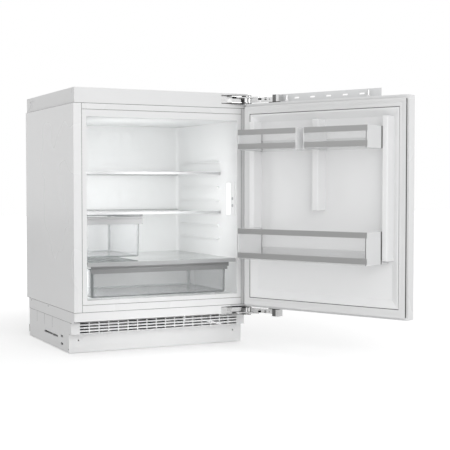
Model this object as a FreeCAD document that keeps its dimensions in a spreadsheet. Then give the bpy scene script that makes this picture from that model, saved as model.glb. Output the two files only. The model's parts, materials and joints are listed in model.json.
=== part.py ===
import FreeCAD, Part
import Sketcher
import math
import os
from types import SimpleNamespace

# Built-under larder fridge with its door open, as a parametric document.
# Frame: millimetres, X to the right seen from the front, Y into the cabinet, Z up.
# The origin is on the floor, under the middle of the closed cabinet.
# Door pieces are drawn where they lie with the door closed, and their placement
# then swings them open about the hinge pin.

SIZES = {
    # cabinet
    "cabinet_width": 597.0,
    "cabinet_height": 820.0,
    "cabinet_depth": 530.0,
    "base_height": 132.0,
    "top_frame_height": 47.5,
    "sheet": 1.0,
    "flange_width": 26.2,
    "return_fold": 16.0,
    "fold_radius": 0.8,
    "rail_top_height": 18.8,
    "rail_low_height": 22.5,
    "niche_height": 93.0,
    "niche_foam": 35.0,
    # clearances
    "seam": 0.3,
    "running_gap": 0.3,
    "shaft_gap": 0.05,
    "overrun": 5.0,
    # liner
    "liner_thickness": 2.0,
    "lip_width": 15.3,
    "floor_rise": 13.5,
    "ceiling_drop": 21.7,
    "back_wall": 52.0,
    "step_back": 195.0,
    "step_height": 104.0,
    "liner_corner": 12.0,
    "rib_depth": 8.0,
    "rib_thickness": 4.0,
    "rib_start": 134.0,
    "rib_end_gap": 28.0,
    "floor_rib_height": 3.0,
    "floor_rib_width": 12.0,
    "floor_rib_place": 190.0,
    "floor_rib_start": 40.0,
    # shelves
    "cover_rise": 111.5,
    "glass": 4.0,
    "shelf_front": 118.0,
    "shelf_rear_gap": 6.0,
    "shelf_side_gap": 4.0,
    "trim_height": 8.0,
    "trim_depth": 11.0,
    "trim_grip": 7.0,
    "rear_trim_side_gap": 0.8,
    "cover_front": 4.0,
    "cover_trim_height": 11.5,
    "cover_trim_depth": 8.0,
    # small drawer under the middle shelf
    "small_left": 235.0,
    "small_right": 30.0,
    "small_front": 123.0,
    "small_back_gap": 59.0,
    "small_floor_gap": 10.5,
    "small_strip_drop": 9.0,
    "small_strip_height": 25.0,
    "small_rim_drop": 11.0,
    "small_rim_width": 6.0,
    "runner_lip": 2.0,
    "runner_wall": 1.5,
    "runner_reach": 5.5,
    "tub_wall": 2.0,
    "tub_corner": 14.0,
    "tub_lean": 1.2,
    "strip_thickness": 6.0,
    "strip_side": 5.0,
    "grip_depth": 2.0,
    "grip_height": 7.0,
    # bottom drawer
    "drawer_half": 234.0,
    "drawer_front": 25.0,
    "drawer_back_gap": 8.0,
    "drawer_strip_height": 24.0,
    "drawer_strip_gap": 8.5,
    "drawer_rim_drop": 9.0,
    "stop_tab_width": 6.0,
    "stop_tab_height": 14.0,
    # light and control unit
    "light_front": 16.0,
    "light_length": 63.0,
    "light_drop": 11.0,
    "light_height": 116.0,
    "light_proud": 2.0,
    "light_sunk": 16.0,
    "light_border": 4.0,
    "light_wall": 2.0,
    "lens_length": 33.0,
    "button_radius": 5.0,
    "button_travel": 1.0,
    "button_proud": 0.4,
    "button_length": 9.0,
    "temperature_rise": 59.0,
    "power_rise": 36.0,
    # evaporator
    "evaporator_width": 420.0,
    "evaporator_drop": 32.0,
    "evaporator_rise": 128.0,
    "evaporator_plate": 1.5,
    "channel_width": 8.0,
    "channel_rise": 2.5,
    "channel_margin": 24.0,
    # top frame and fascia
    "fascia_inset": 3.0,
    "fascia_depth": 18.0,
    "fascia_wall": 2.5,
    "frame_back_gap": 5.0,
    "frame_wall": 2.5,
    "frame_recess_back": 100.0,
    "frame_recess_length": 50.0,
    "frame_recess_depth": 1.5,
    "frame_recess_low": 11.5,
    "frame_recess_height": 24.0,
    "front_slot_height": 11.0,
    "front_slot_drop": 5.0,
    "front_slot_length": 7.0,
    "worktop_tab_width": 40.0,
    "worktop_tab_depth": 28.0,
    "worktop_tab_place": 150.0,
    "worktop_tab_hole": 2.6,
    # hinges
    "pin_x": 291.0,
    "pin_out": 21.0,
    "pin_radius": 4.0,
    "pin_head": 5.5,
    "pin_head_height": 0.9,
    "eye_radius": 7.4,
    "hinge_half": 12.5,
    "arm_thickness": 3.0,
    "leaf_low": 9.2,
    "leaf_top": 4.0,
    "upper_hinge_drop": 20.0,
    "lower_hinge_drop": 20.0,
    "pocket_left": 200.0,
    "pocket_half": 14.5,
    "bracket_plate_end": 244.0,
    "bracket_plate": 2.0,
    "bracket_sink": 10.0,
    "bracket_block": 268.0,
    "bracket_block_out": 6.0,
    "bracket_block_top": 3.0,
    "arm_out": 8.0,
    "link_radius": 36.0,
    "link_stud": 3.0,
    "link_slot_stud": 2.5,
    "link_half": 5.0,
    "link_low": 4.5,
    "link_thickness": 3.5,
    "leaf_bar_half": 7.5,
    "leaf_hole": 2.6,
    "leaf_hole_step": 15.0,
    "leaf_block_start": 104.0,
    "leaf_block_length": 24.0,
    "leaf_block_half": 12.0,
    "leaf_block_top": 11.0,
    "leaf_screw_head": 4.0,
    "leaf_screw": 2.5,
    "leaf_screw_sink": 3.0,
    "leaf_foot": 18.0,
    # door
    "door_thickness": 33.5,
    "gasket_thickness": 12.0,
    "gasket_gap": 0.5,
    "gasket_side_gap": 3.5,
    "gasket_band": 26.0,
    "gasket_over": 3.5,
    "gasket_round": 2.0,
    "gasket_channel": 4.0,
    "gasket_channel_depth": 2.5,
    "door_over": 13.5,
    "door_under": 6.0,
    "door_edge_round": 2.0,
    "rim_drop": 1.0,
    "rim_width": 5.0,
    "bevel_width": 20.0,
    "field_drop": 10.0,
    "dyke_place": 20.0,
    "dyke_width": 18.4,
    "dyke_front": 30.0,
    "dyke_rise": 132.0,
    "dyke_drop": 8.0,
    "column_half": 11.0,
    "column_drop": 287.0,
    "dyke_round": 3.0,
    "boss_depth": 1.6,
    "boss_half": 6.0,
    "boss_place": 14.0,
    # door racks
    "rack_front": 113.0,
    "rack_side_gap": 0.6,
    "rack_back_gap": 1.5,
    "rack_wall": 3.0,
    "rack_floor": 3.0,
    "rack_front_wall": 2.5,
    "rack_cap": 4.9,
    "strip": 2.5,
    "strip_height": 16.5,
    "lower_rack_rise": 123.0,
    "lower_rack_height": 96.0,
    "lower_strip_rise": 12.5,
    "upper_rack_drop": 102.0,
    "upper_rack_height": 64.5,
    "rack_back_height": 34.0,
    "rack_corner": 10.0,
    "lower_boss_rise": 56.0,
    "upper_boss_rise": 34.0,
    # crossbar on the door, for the furniture panel
    "crossbar_half": 187.0,
    "crossbar_foot_half": 167.0,
    "crossbar_height": 27.0,
    "crossbar_plate": 2.0,
    "crossbar_foot": 24.0,
    "crossbar_slot_half": 7.0,
    "crossbar_slot_radius": 2.6,
    "crossbar_slot_pitch": 60.0,
    "crossbar_slot_rise": 13.5,
    "bolt_place": 150.0,
    "bolt_radius": 3.0,
    "bolt_height": 22.0,
    "bolt_nut_radius": 6.0,
    "bolt_nut_height": 5.0,
    "low_slot_half": 11.0,
    "low_slot_radius": 2.0,
    "low_slot_place": 126.0,
    "low_slot_pitch": 30.0,
    "low_hole_radius": 2.2,
    "low_hole_place": 157.0,
    "low_hole_pitch": 24.0,
    "low_row_inset": 9.0,
    # base
    "base_back_gap": 27.0,
    "base_ground_gap": 1.5,
    "base_skin": 3.0,
    "base_ledge": 12.5,
    "base_ledge_height": 5.5,
    "base_rib": 3.0,
    "base_band_height": 35.0,
    "base_step": 1.2,
    "base_slot_start": 174.0,
    "base_slot_length": 148.0,
    "base_slot_low": 36.0,
    "base_slot_height": 7.0,
    "mark_length": 22.0,
    "mark_start": 120.0,
    "mark_low": 18.0,
    "mark_pitch": 24.0,
    "grille_set_back": 31.0,
    "plinth_set_back": 55.0,
    "grille_low": 62.0,
    "grille_top": 98.0,
    "slot_height": 4.6,
    "slot_row_pitch": 9.3,
    "slot_first_row": 64.6,
    "slot_pitch": 32.0,
    "slot_bridge": 3.2,
    "slot_margin": 26.0,
    "plinth_top": 60.0,
    "plinth_wall": 3.0,
    "plinth_fold": 14.0,
    "plinth_screw_place": 268.0,
    "plinth_screw_height": 40.0,
    "plinth_screw_hole": 2.4,
    "lower_fascia_height": 28.0,
    "lower_fascia_depth": 14.0,
    # base plate and feet
    "plate_height": 12.0,
    "plate_back_gap": 15.0,
    "plate_flange": 26.0,
    "bush_radius": 11.0,
    "bush_height": 20.0,
    "foot_x": 262.0,
    "foot_front": 95.0,
    "foot_back_gap": 60.0,
    "foot_radius": 19.0,
    "foot_pad": 6.0,
    "foot_top_radius": 12.0,
    "foot_hex": 8.0,
    "foot_hex_height": 4.0,
    "foot_stem": 5.0,
    "foot_stem_top": 90.0,
    # cooling unit
    "compressor_x": 140.0,
    "compressor_back": 82.0,
    "can_radius": 61.0,
    "can_height": 150.0,
    "can_dome": 34.0,
    "can_seam": 3.0,
    "can_seam_height": 6.0,
    "mount_plate_half_x": 78.0,
    "mount_plate_half_y": 52.0,
    "mount_plate": 3.0,
    "mount_hole_inset": 12.0,
    "grommet_radius": 10.0,
    "grommet_height": 9.0,
    "grommet_neck": 5.0,
    "terminal_width": 44.0,
    "terminal_height": 52.0,
    "terminal_depth": 26.0,
    "tray_half_x": 62.0,
    "tray_half_y": 50.0,
    "tray_height": 20.0,
    "tray_wall": 2.0,
    "condenser_left": 232.0,
    "condenser_right": 92.0,
    "condenser_front": 80.0,
    "condenser_length": 230.0,
    "condenser_low": 24.0,
    "condenser_height": 92.0,
    "condenser_tube": 4.0,
    "condenser_fin": 0.8,
    "condenser_end": 3.0,
    "fan_x": 66.0,
    "fan_y": 195.0,
    "fan_z": 70.0,
    "fan_half": 50.0,
    "fan_depth": 25.0,
    "fan_bore": 46.0,
    "fan_hub": 14.0,
    "fan_hub_back": 6.0,
    "fan_strut": 5.0,
    "fan_shaft": 2.0,
    "blade_reach": 43.0,
    "blade_thickness": 1.6,
    "blade_depth": 14.0,
    "pipe_radius": 3.0,
    "pipe_bend": 18.0,
    "inlet_x": 215.0,
    "inlet_radius": 8.0,
    "inlet_collar": 12.0,
    "inlet_length": 22.0,
    "inlet_bore": 4.0,
}

OPEN_ANGLE = 115.0
LINK_START_ANGLE = 23.0
UPPER_SHELF_SHARE = 98 / 141
MIDDLE_SHELF_SHARE = 131 / 282
RIB_LEVEL_SHARES = (-2 / 3, -1 / 3, 0.0, 1 / 3, 2 / 3, 1.0, 4 / 3)
CAN_PROFILE_SHARES = ((0.0, 0.0), (0.68, 0.0), (0.93, 0.3), (1.0, 1.0))
FIN_COUNT = 12
TUBE_ROWS = 3
TUBE_LAYERS = 2
SLOT_ROWS = 4
CHANNEL_RUNS = 7
BLADES = 5
BLADE_ANGLE = 50.0
BLADE_DEPTH_SHARE = 1.25
CORNER_EDGE_SHARE = 0.9
CORNER_SHARE = 1.3
CAN_SEAM_SHARE = 0.55
TERMINAL_RISE_SHARE = 0.3
COLD_PIPE_SHARE = 1.4
BASE_SEAM_COUNT = 5

doc = FreeCAD.newDocument("UndercounterFridge")
sheet = doc.addObject("Spreadsheet::Sheet", "Sizes")
for row, (alias, number) in enumerate(SIZES.items(), start=1):
    sheet.set(f"A{row}", alias)
    sheet.set(f"B{row}", str(number))
    sheet.setAlias(f"B{row}", alias)
doc.recompute()


class Size:
    """A length that knows its number and the sheet expression it comes from."""

    def __init__(self, number, text):
        self.number = number
        self.text = text

    def __add__(self, other):
        return Size(self.number + float(other), f"({self.text} + {text_of(other)})")

    def __sub__(self, other):
        return Size(self.number - float(other), f"({self.text} - {text_of(other)})")

    def __mul__(self, other):
        return Size(self.number * float(other), f"({self.text} * {text_of(other)})")

    def __truediv__(self, other):
        return Size(self.number / float(other), f"({self.text} / {text_of(other)})")

    def __radd__(self, other):
        return Size(float(other) + self.number, f"({text_of(other)} + {self.text})")

    def __rsub__(self, other):
        return Size(float(other) - self.number, f"({text_of(other)} - {self.text})")

    __rmul__ = __mul__

    def __neg__(self):
        return self * -1

    def __float__(self):
        return float(self.number)


def text_of(value):
    """The expression text of a size or of a plain number."""
    return value.text if isinstance(value, Size) else f"({float(value):.9g})"


size = SimpleNamespace(**{name: Size(sheet.get(name), f"Sizes.{name}") for name in SIZES})
nodes = []


def bind(item, path, value):
    """Tie one property of an object to the sheet."""
    item.setExpression(path, text_of(value))


def node(item, label, placement=None):
    """Keep an object as a sub-part of its own, under its label."""
    item.Label = label
    if placement is not None:
        item.Placement = placement
    nodes.append(item)
    return item


def vector(x, y, z):
    return FreeCAD.Vector(float(x), float(y), float(z))


# sketches and the features made from them


def new_body(name):
    return doc.addObject("PartDesign::Body", name)


def pin_point(drawing, line, u, v):
    """Hold the start of a line at u, v, measured from the sketch's origin."""
    for kind, axis, value in (("DistanceX", -2, u), ("DistanceY", -1, v)):
        if abs(float(value)) < 1e-9:
            drawing.addConstraint(Sketcher.Constraint("PointOnObject", line, 1, axis))
            continue
        rule = Sketcher.Constraint(kind, -1, 1, line, 1, float(value))
        bind(drawing, f"Constraints[{drawing.addConstraint(rule)}]", value)


def draw_outline(drawing, points):
    """A closed outline of straight lines through points given as sizes."""
    first = drawing.GeometryCount
    ends = [FreeCAD.Vector(float(u), float(v), 0) for u, v in points]
    for start, end in zip(ends, ends[1:] + ends[:1]):
        drawing.addGeometry(Part.LineSegment(start, end), False)
    for step in range(len(points)):
        after = first + (step + 1) % len(points)
        drawing.addConstraint(Sketcher.Constraint("Coincident", first + step, 2, after, 1))
    for step, (u, v) in enumerate(points):
        pin_point(drawing, first + step, u, v)


def draw_circle(drawing, u, v, radius):
    """A circle with its middle at u, v."""
    middle = FreeCAD.Vector(float(u), float(v), 0)
    index = drawing.addGeometry(Part.Circle(middle, FreeCAD.Vector(0, 0, 1), float(radius)), False)
    for kind, axis, value in (("DistanceX", -2, u), ("DistanceY", -1, v)):
        if abs(float(value)) < 1e-9:
            drawing.addConstraint(Sketcher.Constraint("PointOnObject", index, 3, axis))
            continue
        rule = Sketcher.Constraint(kind, -1, 1, index, 3, float(value))
        bind(drawing, f"Constraints[{drawing.addConstraint(rule)}]", value)
    rule = Sketcher.Constraint("Radius", index, float(radius))
    bind(drawing, f"Constraints[{drawing.addConstraint(rule)}]", radius)


def sketch(body, plane, height, loops):
    """A sketch of closed loops on a plane of the body's origin, moved out to a height."""
    drawing = body.newObject("Sketcher::SketchObject", "Outline")
    origin = next(f for f in body.Origin.OriginFeatures if f.Role == f"{plane}_Plane")
    drawing.AttachmentSupport = [(origin, "")]
    drawing.MapMode = "FlatFace"
    bind(drawing, "AttachmentOffset.Base.z", -height if plane == "XZ" else height)
    for loop in loops:
        if len(loop) == 3 and isinstance(loop, tuple):
            draw_circle(drawing, *loop)
        else:
            draw_outline(drawing, loop)
    return drawing


def rectangle(left, right, low, high):
    return [(left, low), (right, low), (right, high), (left, high)]


def pad(body, plane, start, end, *loops, lean=None):
    """Material between two heights of a plane; XY, XZ and YZ grow along Z, Y and X."""
    item = body.newObject("PartDesign::Pad", "Pad")
    item.Profile = sketch(body, plane, start, loops)
    bind(item, "Length", end - start)
    item.Reversed = plane == "XZ"
    if lean is not None:
        bind(item, "TaperAngle", lean)
    body.Tip = item
    return item


def pocket(body, plane, start, end, *loops, lean=None):
    """A cut between two heights of a plane."""
    item = body.newObject("PartDesign::Pocket", "Pocket")
    item.Profile = sketch(body, plane, start if plane == "XZ" else end, loops)
    bind(item, "Length", end - start)
    if lean is not None:
        bind(item, "TaperAngle", lean)
    body.Tip = item
    return item


def edges_at(shape, **places):
    """Names of the edges that lie at the named places, such as x=... and y=..., all along."""
    found = []
    for index, edge in enumerate(shape.Edges, start=1):
        middle = edge.valueAt((edge.FirstParameter + edge.LastParameter) / 2)
        points = [v.Point for v in edge.Vertexes] + [middle]
        good = True
        for axis, values in places.items():
            values = values if isinstance(values, tuple) else (values,)
            for point in points:
                gaps = [abs(getattr(point, axis) - float(value)) for value in values]
                good = good and min(gaps) < 0.01
        if good:
            found.append(f"Edge{index}")
    return found


def fillet(body, radius, **places):
    """Round the body's edges at the named places."""
    doc.recompute()
    tip = body.Tip
    item = body.newObject("PartDesign::Fillet", "Fillet")
    item.Base = (tip, edges_at(tip.Shape, **places))
    bind(item, "Radius", radius)
    body.Tip = item
    return item


def bevel(body, width, **places):
    """Bevel the body's edges at the named places."""
    doc.recompute()
    tip = body.Tip
    item = body.newObject("PartDesign::Chamfer", "Bevel")
    item.Base = (tip, edges_at(tip.Shape, **places))
    bind(item, "Size", width)
    body.Tip = item
    return item


def pattern(body, feature, pitch, count):
    """Repeat a feature along the horizontal axis of its sketch."""
    doc.recompute()
    item = body.newObject("PartDesign::LinearPattern", "Row")
    item.Originals = [feature]
    item.Direction = (feature.Profile[0], ["H_Axis"])
    bind(item, "Length", pitch * (count - 1))
    item.Occurrences = count
    body.Tip = item
    return item


# primitives and booleans


def box(x0, x1, y0, y1, z0, z1):
    """A block between two corners."""
    item = doc.addObject("Part::Box", "Block")
    for path, value in (("Length", x1 - x0), ("Width", y1 - y0), ("Height", z1 - z0)):
        bind(item, path, value)
    for axis, value in zip("xyz", (x0, y0, z0)):
        bind(item, f"Placement.Base.{axis}", value)
    return item


def rod(radius, length, x, y, z, axis="Z"):
    """A cylinder that starts at a point and runs along an axis."""
    item = doc.addObject("Part::Cylinder", "Rod")
    turns = {"Z": (1, 0, 0, 0), "X": (0, 1, 0, 90), "Y": (1, 0, 0, -90)}
    *about, angle = turns[axis]
    item.Placement = FreeCAD.Placement(vector(x, y, z), FreeCAD.Rotation(vector(*about), angle))
    bind(item, "Radius", radius)
    bind(item, "Height", length)
    for name, value in zip("xyz", (x, y, z)):
        bind(item, f"Placement.Base.{name}", value)
    return item


def cone(low_radius, high_radius, length, x, y, z):
    """A cone along Z."""
    item = doc.addObject("Part::Cone", "Taper")
    bind(item, "Radius1", low_radius)
    bind(item, "Radius2", high_radius)
    bind(item, "Height", length)
    for name, value in zip("xyz", (x, y, z)):
        bind(item, f"Placement.Base.{name}", value)
    return item


def fuse(*pieces):
    item = doc.addObject("Part::MultiFuse", "Joined")
    item.Shapes = list(pieces)
    item.Refine = True
    return item


def cut(base, *tools):
    item = doc.addObject("Part::Cut", "Trimmed")
    item.Base = base
    item.Tool = tools[0] if len(tools) == 1 else fuse(*tools)
    item.Refine = True
    return item


def group(*pieces):
    """Identical loose pieces that share a node."""
    item = doc.addObject("Part::Compound", "Group")
    item.Links = list(pieces)
    return item


# places that many pieces share

zero = Size(0.0, "(0)")
half = size.cabinet_width / 2
front = -size.cabinet_depth / 2
body_back = front + size.cabinet_depth
shell_back = body_back - size.sheet
top_low = size.cabinet_height - size.top_frame_height
flange_x = half - size.flange_width
inner_x = flange_x - size.lip_width
ring_low = size.base_height + size.rail_low_height
ring_top = top_low - size.rail_top_height
floor_z = ring_low + size.floor_rise
ceiling_z = ring_top - size.ceiling_drop
inner_back = body_back - size.back_wall
step_y = body_back - size.step_back
step_z = floor_z + size.step_height
niche_y = step_y + size.liner_thickness + size.niche_foam
niche_z = size.base_height + size.niche_height
pin_y = front - size.pin_out
upper_shelf_z = floor_z + (ceiling_z - floor_z) * UPPER_SHELF_SHARE
middle_shelf_z = floor_z + (ceiling_z - floor_z) * MIDDLE_SHELF_SHARE
cover_z = floor_z + size.cover_rise
light_low = middle_shelf_z - size.light_drop
evaporator_low = step_z + size.evaporator_rise
evaporator_top = ceiling_z - size.evaporator_drop
upper_hinge_z = size.cabinet_height - size.upper_hinge_drop
lower_hinge_z = size.base_height - size.lower_hinge_drop
door_low = size.base_height - size.door_under
door_top = top_low + size.door_over
lower_rack_low = floor_z + size.lower_rack_rise
upper_rack_low = ceiling_z - size.upper_rack_drop
swing = FreeCAD.Placement(
    vector(0, 0, 0),
    FreeCAD.Rotation(vector(0, 0, 1), OPEN_ANGLE),
    vector(size.pin_x, pin_y, 0),
)


def mirror_x(points, side):
    """The outline on one side of the middle; side is 1 for the right and -1 for the left."""
    return [(x * side, y) for x, y in points]


# cabinet shell


def side_panel(label, side):
    """A folded sheet: the outer wall, the front flange and the fold at the back."""
    profile = [
        (half, front),
        (half, body_back),
        (half - size.return_fold, body_back),
        (half - size.return_fold, shell_back),
        (half - size.sheet, shell_back),
        (half - size.sheet, front + size.sheet),
        (flange_x, front + size.sheet),
        (flange_x, front),
    ]
    body = new_body("SidePanel")
    pad(body, "XY", size.base_height, top_low, mirror_x(profile, side))
    fillet(body, size.fold_radius, x=half * side, y=front)
    node(body, label)


def top_panel():
    """The top sheet with the rail above the opening and two tabs for the worktop's screws."""
    body = new_body("TopPanel")
    across = half - size.sheet
    pad(body, "XY", top_low - size.sheet, top_low,
        rectangle(-across, across, front + size.sheet, shell_back))
    rail = flange_x - size.seam
    pad(body, "XZ", front, front + size.sheet,
        rectangle(-rail, rail, ring_top + size.seam, top_low))
    start = front + size.fascia_depth + size.seam
    end = start + size.worktop_tab_depth
    roof = size.cabinet_height - size.frame_wall
    wide = size.worktop_tab_width / 2
    upright = []
    plates = []
    holes = []
    for side in (-1, 1):
        middle = size.worktop_tab_place * side
        upright.append(rectangle(middle - wide, middle + wide, top_low - size.sheet, roof))
        plates.append(rectangle(middle - wide, middle + wide, start, end))
        holes.append((middle, (start + end) / 2, size.worktop_tab_hole))
    pad(body, "XZ", start, start + size.sheet, *upright)
    pad(body, "XY", roof - size.sheet, roof, *plates)
    pocket(body, "XY", roof - size.sheet - size.seam, roof + size.seam, *holes)
    node(body, "top_panel")


def bottom_panel():
    """The sheet under the foam with the rail below the opening."""
    body = new_body("BottomPanel")
    across = half - size.sheet
    pad(body, "XY", size.base_height, size.base_height + size.sheet,
        rectangle(-across, across, front + size.sheet, niche_y))
    rail = flange_x - size.seam
    pad(body, "XZ", front, front + size.sheet,
        rectangle(-rail, rail, size.base_height, ring_low - size.seam))
    node(body, "bottom_panel")


def back_panel():
    """One bent sheet: the back, the roof of the compressor niche and the niche's front wall."""
    body = new_body("BackPanel")
    inside = shell_back - size.sheet
    profile = [
        (niche_y, size.base_height),
        (niche_y + size.sheet, size.base_height),
        (niche_y + size.sheet, niche_z),
        (shell_back, niche_z),
        (shell_back, top_low - size.sheet),
        (inside, top_low - size.sheet),
        (inside, niche_z + size.sheet),
        (niche_y, niche_z + size.sheet),
    ]
    across = half - size.sheet
    pad(body, "YZ", -across, across, profile)
    node(body, "back_panel")


def insulation():
    """The foam between the sheets and the liner."""
    body = new_body("InsulationFoam")
    inside = shell_back - size.sheet
    face = front + size.liner_thickness
    low = size.base_height + size.sheet
    profile = [
        (face, low),
        (niche_y, low),
        (niche_y, niche_z + size.sheet),
        (inside, niche_z + size.sheet),
        (inside, top_low - size.sheet),
        (face, top_low - size.sheet),
    ]
    across = half - size.sheet
    pad(body, "YZ", -across, across, profile)
    skin = size.liner_thickness
    pocket(body, "YZ", -(inner_x + skin), inner_x + skin, liner_profile(skin, front))
    # room for the evaporator behind the liner
    edge = size.seam
    wide = size.evaporator_width / 2 + edge
    pocket(body, "XZ", inner_back + skin,
           inner_back + skin + size.evaporator_plate + size.channel_rise + edge,
           rectangle(-wide, wide, evaporator_low - edge, evaporator_top + edge))
    # room for the light unit
    border = size.light_border - size.seam
    pocket(body, "YZ", inner_x + skin, inner_x + size.light_sunk + size.seam,
           rectangle(front + size.light_front + border,
                     front + size.light_front + size.light_length - border,
                     light_low + border,
                     light_low + size.light_height - border))
    node(body, "insulation_foam")


# liner


def liner_profile(skin, mouth):
    """The compartment seen from the side, with its skin, from the mouth to the back."""
    return [
        (mouth, floor_z - skin),
        (step_y + skin, floor_z - skin),
        (step_y + skin, step_z - skin),
        (inner_back + skin, step_z - skin),
        (inner_back + skin, ceiling_z + skin),
        (mouth, ceiling_z + skin),
    ]


def rib_levels():
    """Heights of the shelf supports; the shelves rest on two of them."""
    rise = upper_shelf_z - middle_shelf_z
    return [middle_shelf_z + rise * share for share in RIB_LEVEL_SHARES]


def inner_liner():
    """The moulded compartment with its lip, shelf ribs, floor ribs and light opening."""
    body = new_body("InnerLiner")
    skin = size.liner_thickness
    pad(body, "YZ", -(inner_x + skin), inner_x + skin, liner_profile(skin, front))
    lip = flange_x - size.seam
    pad(body, "XZ", front, front + skin, rectangle(-lip, lip, ring_low, ring_top))
    pocket(body, "YZ", -inner_x, inner_x, liner_profile(0, front - size.overrun))
    fillet(body, size.liner_corner, x=(inner_x, -inner_x), y=inner_back)
    start = front + size.rib_start
    end = inner_back - size.rib_end_gap
    for side in (1, -1):
        loops = []
        for level in rib_levels():
            top = level - size.running_gap
            loops.append(rectangle(start, end, top - size.rib_thickness, top))
        cover = cover_z
        loops.append(rectangle(front + size.cover_front + size.cover_trim_depth + size.seam,
                               end, cover - size.rib_thickness, cover))
        if side > 0:
            pad(body, "YZ", inner_x - size.rib_depth, inner_x + size.seam, *loops)
        else:
            pad(body, "YZ", -inner_x - size.seam, -inner_x + size.rib_depth, *loops)
    place = size.floor_rib_place
    width = size.floor_rib_width / 2
    pad(body, "XY", floor_z - size.seam, floor_z + size.floor_rib_height,
        *[rectangle(place * side - width, place * side + width,
                    front + size.floor_rib_start, step_y + size.seam) for side in (1, -1)])
    border = size.light_border - size.seam
    pocket(body, "YZ", inner_x - size.overrun, inner_x + skin + size.seam,
           rectangle(front + size.light_front + border,
                     front + size.light_front + size.light_length - border,
                     light_low + border,
                     light_low + size.light_height - border))
    node(body, "inner_liner")


def evaporator():
    """A plate with a raised channel that winds up it."""
    back = inner_back + size.liner_thickness
    plate = size.evaporator_plate
    wide = size.evaporator_width / 2
    low = evaporator_low
    body = new_body("Evaporator")
    pad(body, "XZ", back, back + plate, rectangle(-wide, wide, low, evaporator_top))
    inset = size.channel_margin
    run = (evaporator_top - low - inset * 2 - size.channel_width) / (CHANNEL_RUNS - 1)
    raised = back + plate + size.channel_rise
    runs = []
    for step in range(CHANNEL_RUNS):
        level = low + inset + run * step
        runs.append(rectangle(-wide + inset, wide - inset, level, level + size.channel_width))
    pad(body, "XZ", back + plate, raised, *runs)
    bends = []
    for step in range(CHANNEL_RUNS - 1):
        level = low + inset + run * step
        side = 1 if step % 2 else -1
        outer = (wide - inset) * side
        inner = outer - size.channel_width * side
        left, right = (outer, inner) if side < 0 else (inner, outer)
        bends.append(rectangle(left, right, level, level + run + size.channel_width))
    pad(body, "XZ", back + plate, raised - size.seam, *bends)
    node(body, "evaporator")


# shelves


def shelf_glass(label, height):
    """The glass plate of a shelf, between its two trims."""
    body = new_body("ShelfGlass")
    side = inner_x - size.shelf_side_gap
    nose = size.trim_depth - size.trim_grip
    start = front + size.shelf_front + nose
    end = inner_back - size.shelf_rear_gap - nose
    pad(body, "XY", height, height + size.glass, rectangle(-side, side, start, end))
    node(body, label)


def trim_profile(nose, grip, height):
    """The clip section of a trim: the nose is its outer edge, the grip holds the glass."""
    lip = (size.trim_height - size.glass) / 2
    wall = nose + (grip - nose) * ((size.trim_depth - size.trim_grip) / size.trim_depth)
    return [
        (nose, height - lip),
        (grip, height - lip),
        (grip, height),
        (wall, height),
        (wall, height + size.glass),
        (grip, height + size.glass),
        (grip, height + size.glass + lip),
        (nose, height + size.glass + lip),
    ]


def shelf_trims(label, height):
    """The front trim and the rear trim of a shelf."""
    start = front + size.shelf_front
    end = inner_back - size.shelf_rear_gap
    side = inner_x - size.shelf_side_gap
    fore = new_body("FrontTrim")
    pad(fore, "YZ", -side, side, trim_profile(start, start + size.trim_depth, height))
    rear_side = inner_x - size.rib_depth - size.rear_trim_side_gap
    rear = new_body("RearTrim")
    pad(rear, "YZ", -rear_side, rear_side, trim_profile(end, end - size.trim_depth, height))
    node(group(fore, rear), label)


def drawer_cover():
    """The fixed glass over the bottom drawer and its front trim."""
    body = new_body("CoverGlass")
    side = inner_x - size.shelf_side_gap
    start = front + size.cover_front
    edge = start + size.cover_trim_depth
    low = cover_z
    pad(body, "XY", low, low + size.glass,
        rectangle(-side, side, edge - size.seam - size.trim_grip / 2, inner_back - size.liner_corner))
    node(body, "cover_glass")
    trim = new_body("CoverTrim")
    top = low + size.glass
    lip = size.running_gap
    slot = edge - size.trim_grip / 2 - size.seam
    pad(trim, "YZ", -side, side, [
        (start, top - size.cover_trim_height),
        (edge - size.cover_trim_depth / 2, top - size.cover_trim_height),
        (edge, low - lip),
        (edge, low),
        (slot, low),
        (slot, top),
        (edge, top),
        (edge, top + lip),
        (start, top + lip),
    ])
    node(trim, "cover_trim")


# drawers


def open_tub(name, left, right, fore, back, low, top, wall):
    """A thin tub that leans outwards to its rim, with round corners."""
    lean = size.tub_lean
    body = new_body(name)
    pad(body, "XY", low, top, rectangle(left, right, fore, back), lean=lean)
    doc.recompute()
    corners = []
    for index, edge in enumerate(body.Tip.Shape.Edges, start=1):
        if edge.BoundBox.ZLength > float(top - low) * CORNER_EDGE_SHARE:
            corners.append(f"Edge{index}")
    tip = body.Tip
    rounded = body.newObject("PartDesign::Fillet", "Corners")
    rounded.Base = (tip, corners)
    bind(rounded, "Radius", size.tub_corner)
    body.Tip = rounded
    doc.recompute()
    faces = []
    for index, face in enumerate(rounded.Shape.Faces, start=1):
        box_of = face.BoundBox
        if box_of.ZLength < 0.01 and abs(box_of.ZMax - float(top)) < 0.01:
            faces.append(f"Face{index}")
    shell = body.newObject("PartDesign::Thickness", "Hollow")
    shell.Base = (rounded, faces)
    bind(shell, "Value", wall)
    shell.Reversed = True
    body.Tip = shell
    return body


def front_strip(left, right, fore, low, top):
    """A drawer's front strip with a finger groove under its top edge."""
    body = new_body("FrontStrip")
    back = fore + size.strip_thickness
    grip = top - size.grip_height
    pad(body, "YZ", left, right, [
        (fore, low),
        (back, low),
        (back, top),
        (fore + size.grip_depth, top),
        (fore, top - size.grip_depth),
        (fore, grip + size.grip_depth),
        (fore + size.grip_depth, grip),
        (fore + size.grip_depth, grip - size.grip_depth),
        (fore, grip - size.grip_depth * 2),
    ])
    return body


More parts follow.
